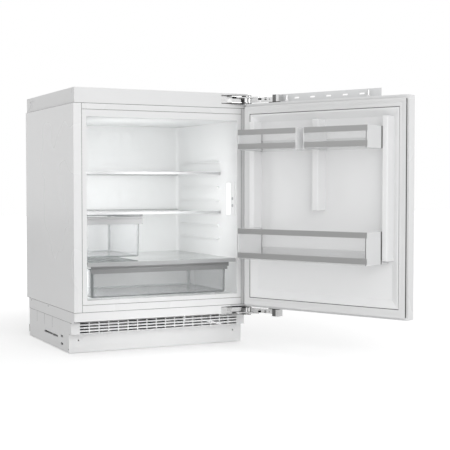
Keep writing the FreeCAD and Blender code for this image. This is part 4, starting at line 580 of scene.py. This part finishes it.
# %% [markdown]
# Three masks draw on the door. One is 1 on the end walls of the door racks, one on the narrow
# gap beside such a wall, where shade is painted, and at the corners, and one in the folds of the
# seal and along its inner edge, where shade is painted as well. All of them measure in the door's
# closed position, so a point is first turned back about the hinge pin.

# %% Masks on the door
PIN_X = 0.291
PIN_Y = -0.286
DOOR_TURN = math.radians(115.0)
SEAL_OUTSIDE = (0.295, 0.133, 0.776)
SEAL_BACK = -0.2775
SEAL_WIDTH = 0.026
SEAL_SIDE_SHARE = 0.0225 / SEAL_WIDTH
INNER_EDGE = 0.0016
FOLD_REACH = 0.0055
FOLD_SPAN = (SEAL_BACK + 0.0021, SEAL_BACK + 0.0103)
CORNER_HALF = 0.0012
RACK_END = 0.229
RACK_REAR = -0.2715
DYKE_FRONT = -0.2345
GAP_HALF = 0.0032


def make_ends_group():
    """Mask: 1 on the end walls and under the inner limit. Corner: 1 on a dark corner and painted
    gap shade.
    """
    tree, given, result = new_group(
        "end walls", [("Place", VECTOR, None), ("Inner limit", FLOAT, 0.0)],
        [("Mask", FLOAT), ("Corner", FLOAT)],
    )
    side, depth, _ = axes(tree, given)
    away = distance(tree, side, 0.0)
    inner = under(tree, away, given.outputs["Inner limit"])
    join(tree, either(tree, inner, over(tree, away, RACK_END)), result.inputs["Mask"])
    fore = near(tree, side, -RACK_END, CORNER_HALF)
    # painted shade in the gap beside the free side's end wall, in front of the dyke
    gap = both(tree, under(tree, side, -RACK_END), near(tree, depth, DYKE_FRONT, GAP_HALF))
    # painted shade in the gap behind the hinge side's end wall
    rear = both(tree, over(tree, side, RACK_END), under(tree, depth, RACK_REAR))
    join(tree, either(tree, fore, gap, rear), result.inputs["Corner"])
    return tree


def make_seal_group():
    """1 in the fold along the seal's outer side and along its inner edge, 0 elsewhere."""
    tree, mask, (side, depth, height) = new_mask("seal shade")
    half, low, high = SEAL_OUTSIDE
    run = compare(tree, "SUBTRACT", half, distance(tree, side, 0.0))
    run = compare(tree, "MULTIPLY", run, 1 / SEAL_SIDE_SHARE)
    rise = compare(tree, "MINIMUM", compare(tree, "SUBTRACT", height, low),
                   compare(tree, "SUBTRACT", high, height))
    inset = compare(tree, "MINIMUM", run, rise)
    inner = over(tree, inset, SEAL_WIDTH - INNER_EDGE)
    fold = both(tree, under(tree, inset, FOLD_REACH), between(tree, depth, *FOLD_SPAN))
    join(tree, either(tree, inner, fold), mask)
    return tree


def door_place(tree):
    """Object coordinates turned back to where the door would be if it were closed."""
    place = add_node(tree, "ShaderNodeTexCoord")
    cosine, sine = math.cos(-DOOR_TURN), math.sin(-DOOR_TURN)
    shift = (PIN_X - (cosine * PIN_X - sine * PIN_Y), PIN_Y - (sine * PIN_X + cosine * PIN_Y), 0.0)
    turned = add_node(tree, "ShaderNodeMapping", inputs={
        "Location": shift, "Rotation": (0.0, 0.0, -DOOR_TURN)})
    join(tree, place.outputs["Object"], turned.inputs["Vector"])
    return turned.outputs["Vector"]


ends_group = make_ends_group()
seal_group = make_seal_group()
print("groups", ends_group.name, "and", seal_group.name)

# %% [markdown]
# The seal is soft light-grey rubber. Its folds and the gap along its inner edge never see light,
# so shade is painted there, nearly black.

# %% Seal rubber
# the colour of the painted shade in the seal's folds and along its inner edge
FOLD_SHADE_TONE = grey(0.05)


def seal_material(name, tone, second):
    """Rubber from the skin group, with painted shade in the seal's folds and along its inner edge.
    """
    material, tree, shader = start_material(name)
    skin = add_skin(tree, tone, second, (0.55, 0.68), 1600.0)
    folds = add_placed(tree, seal_group, door_place(tree))
    colour = shade(tree, skin.outputs["Colour"], folds.outputs["Mask"], FOLD_SHADE_TONE)
    wire(tree, shader, skin, 0.00006, colour)
    return material


finishes["gasket"] = seal_material("door_seal_rubber", grey(0.70, -0.004), grey(0.74, 0.0))
print("seal ready")

# %% [markdown]
# The tubs and door racks are thin clear plastic. A wall of two millimetres hardly bends light,
# so it is drawn as a surface that lets part of the picture behind it through: little of it is
# seen face on, and much more at a grazing angle, which draws the edges as the real ones show.
# The racks' end walls are milky, so their mask makes them nearly solid, and the second mask
# paints shade into the gap beside them and darkens the corners where the plastic bends.

# %% Clear plastic
EDGE_BLEND = 0.32
EDGE_POWER = 2.0
SHADOW_SHARE = 0.4
MILKY_SHARE = 0.85
# the colour of the corner lines and of the painted shade in the gaps beside the end walls
CORNER_AND_GAP_SHADE_TONE = grey(0.16)
RACK_LOOK = (grey(0.80, -0.005), grey(0.60, -0.008), 0.12, 0.6)


def clear_plastic(name, tone, edge_tone, face_on, grazing, inner=None):
    """Thin clear plastic; face_on and grazing are how solid it looks in those two views."""
    material, tree, shader = start_material(name, **{"IOR": 1.49, "Specular IOR Level": 0.6})
    skin = add_skin(tree, tone, tone, (0.07, 0.16), 240.0, 5.0)
    weight = add_node(tree, "ShaderNodeLayerWeight", inputs={"Blend": EDGE_BLEND})
    mark = add_node(tree, "ShaderNodeAttribute", attribute_name="edge")
    edge = compare(tree, "POWER", weight.outputs["Facing"], EDGE_POWER)
    edge = either(tree, edge, mark.outputs["Fac"])
    colour = shade(tree, skin.outputs["Colour"], edge, edge_tone)
    solid = span(tree, edge, face_on, grazing)
    if inner is not None:
        ends = add_placed(tree, ends_group, door_place(tree), inputs={"Inner limit": inner})
        # painted shade in the gaps beside the end walls, and their dark corner lines
        corner = ends.outputs["Corner"]
        solid = either(tree, solid, both(tree, ends.outputs["Mask"], MILKY_SHARE), corner)
        colour = shade(tree, colour, corner, CORNER_AND_GAP_SHADE_TONE)
    rays = add_node(tree, "ShaderNodeLightPath")
    cast = span(tree, rays.outputs["Is Shadow Ray"], 1.0, SHADOW_SHARE)
    join(tree, both(tree, solid, cast), shader.inputs["Alpha"])
    wire(tree, shader, skin, 0.00004, colour)
    return material


finishes.update({
    "smoke_drawer": clear_plastic("clear_drawer_plastic", grey(0.60, -0.015),
                                  (0.10, 0.118, 0.115, 1.0), 0.13, 1.0),
    "drawer_strip": clear_plastic("milky_strip", grey(0.30, -0.008), grey(0.22, -0.01),
                                  0.85, 0.95),
    "rack_plastic": clear_plastic("clear_rack_plastic", *RACK_LOOK, 0.0),
    "short_rack_plastic": clear_plastic("clear_short_rack_plastic", *RACK_LOOK, 0.0167),
    "lens": skin_material("frosted_lens", grey(0.86), grey(0.90), (0.35, 0.5), 1200.0, 0.00005,
                          **{"Emission Color": (1.0, 1.0, 1.0, 1.0), "Emission Strength": 0.4}),
})
print(len(finishes), "finishes in all")

# %% [markdown]
# New pieces are surfaces made from whole arrays of points. A ring is a closed loop of points,
# and a stack of rings is a surface: neighbouring rings are joined by quads, and the first and
# last ring are filled. A lathe, a moulded tub and a swept seal are all such stacks.

# %% From a stack of rings to a mesh


def ring_faces(steps, count, looped, offset=0):
    """Quads between neighbouring rings, and a filled first and last ring unless it loops."""
    index = np.arange(steps * count).reshape(steps, count) + offset
    after = np.roll(index, -1, axis=1)
    low, high = index[:-1], index[1:]
    low_after, high_after = after[:-1], after[1:]
    quads = np.stack([low, low_after, high_after, high], axis=-1).reshape(-1, 4).tolist()
    if looped:
        last = np.stack([index[-1], after[-1], after[0], index[0]], axis=-1)
        return quads + last.tolist()
    return quads + [index[0][::-1].tolist(), index[-1].tolist()]


def build_piece(name, stacks, finish, smooth_angle=35.0, marks=None):
    """One mesh from several stacks (rings, looped); marks is a value for each point, or none."""
    points = []
    faces = []
    offset = 0
    for rings, looped in stacks:
        steps, count, _ = rings.shape
        faces += ring_faces(steps, count, looped, offset)
        points.append(rings.reshape(-1, 3))
        offset += steps * count
    mesh = bpy.data.meshes.new(name)
    mesh.from_pydata(np.concatenate(points).tolist(), [], faces)
    if marks is not None:
        edge = mesh.attributes.new("edge", "FLOAT", "POINT")
        edge.data.foreach_set("value", marks.ravel())
    work = bmesh.new()
    work.from_mesh(mesh)
    bmesh.ops.remove_doubles(work, verts=work.verts, dist=1e-7)
    bmesh.ops.recalc_face_normals(work, faces=work.faces)
    work.to_mesh(mesh)
    work.free()
    mesh.shade_smooth()
    mesh.set_sharp_from_angle(angle=math.radians(smooth_angle))
    piece = bpy.data.objects.new(name, mesh)
    bpy.context.scene.collection.objects.link(piece)
    mesh.materials.append(finishes[finish])
    return piece


def stand_in_for(piece, node, body):
    """The piece replaces a CAD node and rides on its body."""
    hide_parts(node)
    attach(piece, body)
    print(piece.name, "has", len(piece.data.polygons), "faces")


# %% [markdown]
# The drawers are injection-moulded tubs: the walls lean outwards so that they leave the mould,
# every corner is round, and the rim turns outwards. Each ring of such a tub is a rounded
# rectangle, and the bends between the rings follow short arcs.

# %% Rounded rectangles
ARC_STEPS = 8


def rounded_rings(left, right, fore, back, radius, height):
    """Rounded rectangles: each corner is a quarter circle of the radius about its own centre."""
    quarter = np.linspace(0.0, math.pi / 2, ARC_STEPS)
    turns = quarter + np.arange(4)[:, None] * math.pi / 2
    side_x = np.array([1, 0, 0, 1])
    side_y = np.array([1, 1, 0, 0])
    centre_x = np.where(side_x, (right - radius)[:, None], (left + radius)[:, None])
    centre_y = np.where(side_y, (back - radius)[:, None], (fore + radius)[:, None])
    x = centre_x[:, :, None] + radius[:, None, None] * np.cos(turns)
    y = centre_y[:, :, None] + radius[:, None, None] * np.sin(turns)
    z = np.broadcast_to(height[:, None, None], x.shape)
    return np.stack([x, y, z], axis=-1).reshape(len(height), -1, 3)


def quarter_path(inset, height, radius, start, end, steps=6):
    """Points of an arc in the cut: its centre at inset and height, from one angle to another."""
    turns = np.radians(np.linspace(start, end, steps))
    return np.stack([inset - radius * np.cos(turns), height + radius * np.sin(turns)], axis=-1)


# %% [markdown]
# The stack of a tub runs from the middle of its underside up the outside, over the rim and down
# the inside. A row of (inset, height) pairs is that path, seen as a cut through the wall. Each
# stretch of it has a mark as well: clear plastic looks dark where it bends, at the rim, foot and
# corners, and the mark tells the material where that is.

# %% The two drawer tubs
TUB_LEAN = math.tan(math.radians(1.2))
TUB_WALL = 0.002
TUB_BEND = 0.006
TUB_CORNER = 0.014


def tub_rings(left, right, fore, back, low, rim, flange=0.0):
    """A leaning tub and its edge marks; inset is measured in from the rim's outline."""
    foot = (rim - low) * TUB_LEAN
    bend = (foot + TUB_BEND, low + TUB_BEND)
    swell = np.sin(np.linspace(0.0, math.pi, 6))
    cut = [
        ([(foot + 0.03, low + 0.0006), (foot + 0.012, low + 0.0006), (foot + 0.0115, low)], 0.0),
        (quarter_path(*bend, TUB_BEND, -90.0, 0.0), 0.9 * swell),
        ([(TUB_LEAN * 0.006, rim - 0.006)], 0.0),
        ([(TUB_LEAN * 0.003, rim - 0.0026)], 0.6),
        (quarter_path(0.0, rim - 0.001, 0.0009, -90.0, 90.0), 0.9),
        ([(TUB_WALL, rim), (TUB_WALL + 0.0004, rim - 0.0004)], 0.9),
        ([(TUB_WALL + 0.0005, rim - 0.005)], 0.0),
        (quarter_path(*bend, TUB_BEND - TUB_WALL, 0.0, -90.0), 0.5 * swell),
        ([(foot + 0.03, low + TUB_WALL)], 0.0),
    ]
    path = np.concatenate([np.asarray(points) for points, _ in cut])
    along = np.concatenate([np.broadcast_to(mark, len(points)) for points, mark in cut])
    inset, height = path[:, 0], path[:, 1]
    near_rim = (height > rim - 0.0021) & (inset < TUB_WALL / 2)
    side = inset - flange * near_rim
    radius = np.maximum(TUB_CORNER - inset, 0.003)
    rings = rounded_rings(left + side, right - side, fore + inset, back - inset, radius, height)
    corner = np.tile(0.8 * np.sin(np.linspace(0.0, math.pi, ARC_STEPS)) ** 2, 4)
    upright = (height > low + TUB_BEND / 2)[:, None]
    return rings, np.maximum(along[:, None], corner * upright)


for drawer, outline in (
    ("small_drawer", (-0.235, -0.030, -0.1352, 0.154, 0.290, 0.419, 0.006)),
    ("bottom_drawer", (-0.234, 0.234, -0.2332, 0.062, 0.1713, 0.262)),
):
    rings, marks = tub_rings(*outline)
    tub = build_piece(f"{drawer}_clear_tub", [(rings, False)], "smoke_drawer", marks=marks)
    stand_in_for(tub, f"{drawer}_tub", drawer)

# %% [markdown]
# The door's seal is a hollow rubber profile, welded at its corners. It has two soft lips towards
# the cabinet, a dip between them and a fold along its outer side, which shows as a dark line
# around the door. The profile is drawn once as a closed loop and carried along four corners; at
# a mitre the profile only has to be moved in by its own distance from the edge.

# %% The door's seal


def cut_corners(loop, times):
    """Chaikin's rule: each edge keeps the points at a quarter and three quarters of its run."""
    for _ in range(times):
        after = np.roll(loop, -1, axis=0)
        loop = np.stack([loop * 0.75 + after * 0.25, loop * 0.25 + after * 0.75], axis=1)
        loop = loop.reshape(-1, 2)
    return loop


def swing_open(points):
    """Turn points of the closed door about the hinge pin by the angle that it stands open."""
    away = points[..., :2] - (PIN_X, PIN_Y)
    cosine, sine = math.cos(DOOR_TURN), math.sin(DOOR_TURN)
    x = PIN_X + away[..., 0] * cosine - away[..., 1] * sine
    y = PIN_Y + away[..., 0] * sine + away[..., 1] * cosine
    return np.stack([x, y, points[..., 2]], axis=-1)


def seal_rings():
    """The profile at the four mitred corners; in is the run inwards, out is the height."""
    profile = np.array([
        (0.0, 0.0), (26.0, 0.0), (26.0, 11.2), (23.5, 12.2), (19.5, 11.9), (16.5, 10.9),
        (13.0, 11.0), (9.0, 11.8), (5.0, 12.2), (1.0, 12.0), (0.0, 11.6), (0.0, 10.4),
        (5.0, 10.0), (5.0, 2.4), (0.0, 2.0),
    ]) / 1000
    profile = cut_corners(profile, 2)
    inward, out = profile[:, 0], np.minimum(profile[:, 1], 0.012)
    half, low, high = SEAL_OUTSIDE
    side_x = np.array([1, 1, -1, -1])[:, None]
    x = side_x * (half - inward * SEAL_SIDE_SHARE)
    z = np.where(np.array([True, False, False, True])[:, None], low + inward, high - inward)
    y = np.broadcast_to(SEAL_BACK + out, x.shape)
    return swing_open(np.stack([x, y, z], axis=-1))


door_seal = build_piece("door_seal", [(seal_rings(), True)], "gasket", 50.0)
stand_in_for(door_seal, "door_gasket", "door")

# %% [markdown]
# The levelling feet are turned pads on a threaded stem, with a hexagon for the spanner. All of it
# is one surface: the radius is a function of height and of the angle around the stem. In the
# hexagon it follows the polar formula of a six-sided figure, and on the stem a triangle wave
# that climbs with the angle draws the thread.

# %% The four feet
THREAD_PITCH = 0.002
THREAD_DEPTH = 0.0007
STEM_SPAN = (0.0102, 0.0896)
STEM_TAPER = 0.0015
FOOT_SIDES = 36


def foot_rings(x, y):
    """Radius over height and angle: pad, hexagon, then a thread that climbs one pitch a turn."""
    turn = np.arange(FOOT_SIDES) * 2 * math.pi / FOOT_SIDES
    pad = np.array([(0.0165, 0.0), (0.0186, 0.0005), (0.019, 0.0014), (0.0188, 0.0023),
                    (0.0135, 0.0048), (0.0121, 0.0059), (0.0115, 0.006)])
    pad_radius = np.repeat(pad[:, :1], FOOT_SIDES, axis=1)
    sixth = math.pi / 3
    hexagon = 0.008 * math.cos(sixth / 2) / np.cos(turn % sixth - sixth / 2)
    nut_height = np.array([0.0061, 0.0064, 0.0096, 0.0099])
    nut_radius = hexagon * np.array([0.97, 1.0, 1.0, 0.95])[:, None]
    stem_height = np.arange(*STEM_SPAN, THREAD_PITCH / 6)
    climb = stem_height[:, None] / THREAD_PITCH - turn / (2 * math.pi)
    wave = np.abs((climb % 1.0) * 2 - 1)
    fade = np.clip((STEM_SPAN[1] - stem_height[:, None]) / STEM_TAPER, 0.0, 1.0)
    stem_radius = 0.005 - THREAD_DEPTH * wave - 0.0006 * (1 - fade)
    radius = np.concatenate([pad_radius, nut_radius, stem_radius])
    height = np.concatenate([pad[:, 1], nut_height, stem_height])
    return np.stack([x + radius * np.cos(turn), y + radius * np.sin(turn),
                     np.broadcast_to(height[:, None], radius.shape)], axis=-1)


for side_name, x in (("left", -0.262), ("right", 0.262)):
    for end_name, y in (("front", -0.170), ("back", 0.205)):
        label = f"foot_{end_name}_{side_name}"
        threaded = build_piece(f"{label}_threaded", [(foot_rings(x, y), False)], "dark_plastic")
        stand_in_for(threaded, label, label)

# %% [markdown]
# The fan in the base is a hub with five blades. A real blade is steep at the hub and flatter at
# its tip, because the tip moves faster. Each blade is a stack of thin wing sections, one for
# each radius, turned by an angle that falls from the root to the tip.

# %% The fan's rotor
FAN_PLACE = (-0.066, -0.070, 0.070)
FAN_BACK = -0.0722
HUB_SIDES = 48
BLADE_COUNT = 5
BLADE_REACH = (0.0128, 0.0429)
ROOT_PITCH = 50.0
PITCH_FALL = 24.0
ROOT_CHORD = 0.0165
CHORD_GAIN = 0.0095
TIP_LOSS = 0.006
BLADE_HALF = 0.0008
CAMBER = 0.9


def turn_about_x(cut, start, centre_y, centre_z, sides):
    """Turned rings: each point of the cut is a way along the axis and a radius around it."""
    turn = np.arange(sides) * 2 * math.pi / sides
    x = np.broadcast_to(start + cut[:, :1], (len(cut), sides))
    y = centre_y + cut[:, 1:] * np.cos(turn)
    z = centre_z + cut[:, 1:] * np.sin(turn)
    return np.stack([x, y, z], axis=-1)


def hub_rings():
    """A closed cut through the hub, turned about X: bore, back, rounded rim and front."""
    cut = np.array([(0.0, 2.05), (0.0, 13.2), (0.8, 14.0), (12.4, 14.0), (13.6, 13.2),
                    (14.0, 12.0), (14.0, 4.0), (13.0, 3.4), (13.0, 2.05)]) / 1000
    return turn_about_x(cut, FAN_BACK, *FAN_PLACE[1:], HUB_SIDES)


def blade_rings(start):
    """Wing sections from root to tip: chord and pitch angle change evenly with the radius."""
    reach = np.linspace(*BLADE_REACH, 14)[:, None]
    share = (reach - reach[0]) / (reach[-1] - reach[0])
    pitch = np.radians(ROOT_PITCH - PITCH_FALL * share)
    chord = ROOT_CHORD + CHORD_GAIN * share - TIP_LOSS * share ** 6
    around = np.arange(20) * 2 * math.pi / 20
    along = np.cos(around) * chord / 2
    thick = np.sin(around) * BLADE_HALF + (chord / 2) ** 2 * CAMBER - along ** 2 * CAMBER
    x = FAN_BACK + 0.007 + along * np.sin(pitch) + thick * np.cos(pitch)
    sweep = along * np.cos(pitch) - thick * np.sin(pitch)
    angle = start + sweep / reach
    y = FAN_PLACE[1] + reach * np.cos(angle)
    z = FAN_PLACE[2] + reach * np.sin(angle)
    return np.stack([x, y, z], axis=-1)


blade_stacks = [(blade_rings(2 * math.pi * step / BLADE_COUNT), False)
                for step in range(BLADE_COUNT)]
rotor = build_piece("fan_rotor_blades", [(hub_rings(), True), *blade_stacks], "dark_plastic")
stand_in_for(rotor, "fan_rotor", "fan_rotor")

# %% [markdown]
# The light's lens spreads the lamp with rows of small ridges. It is a stack again, one ring for
# each height: the ring is the lens's own cut, and its front edge moves in and out with the ridge.

# %% The ribbed lens
LENS_BOX = ((0.2546, 0.2570), (-0.21895, -0.19205), (0.42505, 0.52895))
RIDGE_PITCH = 0.004
RIDGE_DEPTH = 0.00035


def lens_rings():
    """Rings over height whose front follows a triangle wave, less deep towards both ends."""
    (front, back), (fore, rear), (low, high) = LENS_BOX
    height = np.linspace(low, high, 157)
    wave = np.abs(((height - low) / RIDGE_PITCH % 1.0) * 2 - 1)
    edge = np.clip(np.minimum(height - low, high - height) / 0.0015, 0.0, 1.0)
    dip = RIDGE_DEPTH * wave * edge + 0.0005 * (1 - edge)
    shape = np.array([(0.0, 0.06), (0.0, 0.94), (0.25, 1.0), (1.0, 1.0), (1.0, 0.0), (0.25, 0.0)])
    depth = np.where(shape[:, 0] < 0.5, 1.0, 0.0)
    x = front + (back - front) * shape[:, 0] + dip[:, None] * depth
    y = np.broadcast_to(fore + (rear - fore) * shape[:, 1], x.shape)
    z = np.broadcast_to(height[:, None], x.shape)
    return np.stack([x, y, z], axis=-1)


lens = build_piece("light_ribbed_lens", [(lens_rings(), False)], "lens", 20.0)
stand_in_for(lens, "light_lens", "cabinet")

# %% [markdown]
# The two buttons are turned pieces with a shallow dish for the finger. Their face looks into
# the compartment, so they are turned about X like the fan's hub.

# %% The two dished buttons
BUTTON_FACE = 0.2536
BUTTON_DEPTH = -0.236
BUTTON_SIDES = 40


def button_rings(height):
    """A turned cut about X: a dish in the face, a rounded rim, then the straight stem."""
    cut = np.array([(0.42, 0.4), (0.40, 1.6), (0.30, 2.8), (0.12, 3.8), (0.0, 4.3), (0.03, 4.6),
                    (0.18, 4.88), (0.45, 5.0), (9.0, 5.0)]) / 1000
    return turn_about_x(cut, BUTTON_FACE, BUTTON_DEPTH, height, BUTTON_SIDES)


for label, height in (("temperature_button", 0.478), ("power_button", 0.455)):
    dished = build_piece(f"{label}_dished", [(button_rings(height), False)], "button", 60.0)
    stand_in_for(dished, label, label)

# %% [markdown]
# Every CAD node keeps its mesh and gets one of these finishes. The record already says which
# material slot a node has, so that list is read instead of being written twice. A few nodes
# share a slot but look different on the real object, such as the strips on the drawers and on
# the door racks, so they are named here. The base plate and the condenser are named too: their
# dark tones paint the shade of the cavity behind the grille, and on the condenser its dust too.

# %% Give each CAD node its finish
SPECIAL_FINISH = {
    "small_drawer_strip": "drawer_strip",
    "bottom_drawer_strip": "drawer_strip",
    "lower_rack_strips": "rack_strip",
    "hinge_side_rack_strips": "rack_strip",
    "free_side_rack_strips": "rack_strip",
    "hinge_side_rack_tray": "short_rack_plastic",
    "free_side_rack_tray": "short_rack_plastic",
    "crossbar": "crossbar_paint",
    # these two are darkened to paint the shade behind the grille, the condenser also for its dust
    "base_plate": "dull_plate_painted_shade",
    "condenser": "dust_and_shade_fins",
}


def dress(item, finish):
    """Put one finish on an object in place of whatever it has."""
    item.data.materials.clear()
    item.data.materials.append(finishes[finish])


for row in frame["record"]["subparts"]:
    name = row["node"]
    dress(nodes[name], SPECIAL_FINISH.get(name, row["material_slot"]))

# %% [markdown]
# The studio: a wide pale floor that keeps the object's shadow, a world that is white where the
# camera, a mirror or clear plastic looks at it and softer as a light, and a few large lamps. A
# large lamp close by gives the soft edges that a product photograph has. One more lamp stands in
# the opening and one along the left inner wall, as the compartment is lit brightly in the
# photograph, and a low narrow one lights the plinth under the overhang. The floor glows more the
# further away it is, so that no horizon shows.

# %% Floor, world and lamps
FLOOR_REACH = 14.0
GLOW_SPAN = (0.7, 1.9)
LIT_STRENGTH = 0.66


def choose(tree, mask, first, second, output):
    """Send the first shader to the output where the mask is 0, and the second where it is 1."""
    choice = add_node(tree, "ShaderNodeMixShader")
    join(tree, mask, choice.inputs["Fac"])
    join(tree, first, choice.inputs[1])
    join(tree, second, choice.inputs[2])
    join(tree, choice.outputs["Shader"], tree.nodes[output].inputs["Surface"])


def add_floor():
    """One large quad on the ground, with a floor colour that the lamps bring close to white."""
    mesh = bpy.data.meshes.new("floor")
    corners = FLOOR_REACH * np.array([(-1, -1, 0), (1, -1, 0), (1, 1, 0), (-1, 1, 0)])
    mesh.from_pydata(corners.tolist(), [], [(0, 1, 2, 3)])
    floor = bpy.data.objects.new("floor", mesh)
    bpy.context.scene.collection.objects.link(floor)
    material, tree, shader = start_material("studio_floor", Roughness=0.9)
    shader.inputs["Base Color"].default_value = grey(0.86)
    rays = add_node(tree, "ShaderNodeLightPath")
    glow = add_node(tree, "ShaderNodeEmission", inputs={"Strength": 1.0})
    place = add_node(tree, "ShaderNodeTexCoord")
    away = add_node(tree, "ShaderNodeVectorMath", operation="LENGTH")
    join(tree, place.outputs["Object"], away.inputs[0])
    far = add_node(tree, "ShaderNodeMapRange",
                   inputs={"From Min": GLOW_SPAN[0], "From Max": GLOW_SPAN[1]})
    join(tree, away.outputs["Value"], far.inputs["Value"])
    tint = add_node(tree, "ShaderNodeMix", data_type="RGBA", inputs={
        "A": grey(0.29), "B": grey(0.55)})
    join(tree, far.outputs["Result"], tint.inputs["Factor"])
    join(tree, tint.outputs["Result"], glow.inputs["Color"])
    glowing = add_node(tree, "ShaderNodeAddShader")
    join(tree, shader.outputs["BSDF"], glowing.inputs[0])
    join(tree, glow.outputs["Emission"], glowing.inputs[1])
    choose(tree, rays.outputs["Is Camera Ray"], shader.outputs["BSDF"],
           glowing.outputs["Shader"], "Material Output")
    mesh.materials.append(material)


def add_world():
    """White where it is seen, and a plain soft light everywhere else."""
    world = bpy.data.worlds.new("studio")
    world.use_nodes = True
    bpy.context.scene.world = world
    tree = world.node_tree
    lit = tree.nodes["Background"]
    lit.inputs["Color"].default_value = grey(1.0)
    lit.inputs["Strength"].default_value = LIT_STRENGTH
    seen = add_node(tree, "ShaderNodeBackground", inputs={"Color": grey(1.0), "Strength": 1.0})
    rays = add_node(tree, "ShaderNodeLightPath")
    looking = either(tree, rays.outputs["Is Camera Ray"], rays.outputs["Is Glossy Ray"],
                     rays.outputs["Is Transmission Ray"])
    choose(tree, looking, lit.outputs["Background"], seen.outputs["Background"], "World Output")


def add_lamp(name, place, aim, width, height, power, mirrored=True, spread=180.0):
    """A rectangular area lamp turned towards a point; spread is how wide it shines, in degrees."""
    data = bpy.data.lights.new(name, "AREA")
    data.shape = "RECTANGLE"
    data.size = width
    data.size_y = height
    data.energy = power
    data.spread = math.radians(spread)
    lamp = bpy.data.objects.new(name, data)
    lamp.location = Vector(place)
    lamp.rotation_euler = (Vector(aim) - lamp.location).to_track_quat("-Z", "Y").to_euler()
    lamp.visible_camera = False
    lamp.visible_glossy = mirrored
    bpy.context.scene.collection.objects.link(lamp)


add_floor()
add_world()
add_lamp("key_lamp", (-0.4, -4.5, 2.0), (0.1, -0.2, 0.4), 3.0, 3.0, 43.0)
add_lamp("fill_lamp", (0.0, -1.6, 0.55), (0.42, -0.5, 0.45), 0.44, 0.8, 1.6)
add_lamp("top_lamp", (0.3, -0.6, 3.6), (0.1, -0.2, 0.3), 3.0, 3.0, 16.0)
add_lamp("opening_lamp", (0.0, -0.262, 0.48), (0.0, 0.2, 0.44), 0.22, 0.34, 0.70, False)
add_lamp("wall_lamp", (-0.2485, -0.07, 0.40), (0.2, -0.05, 0.40), 0.28, 0.44, 1.25, False)
add_lamp("foot_lamp", (0.0, -0.85, 0.07), (0.0, -0.2, 0.03), 0.50, 0.08, 0.09, False, 44.0)
print("studio ready")
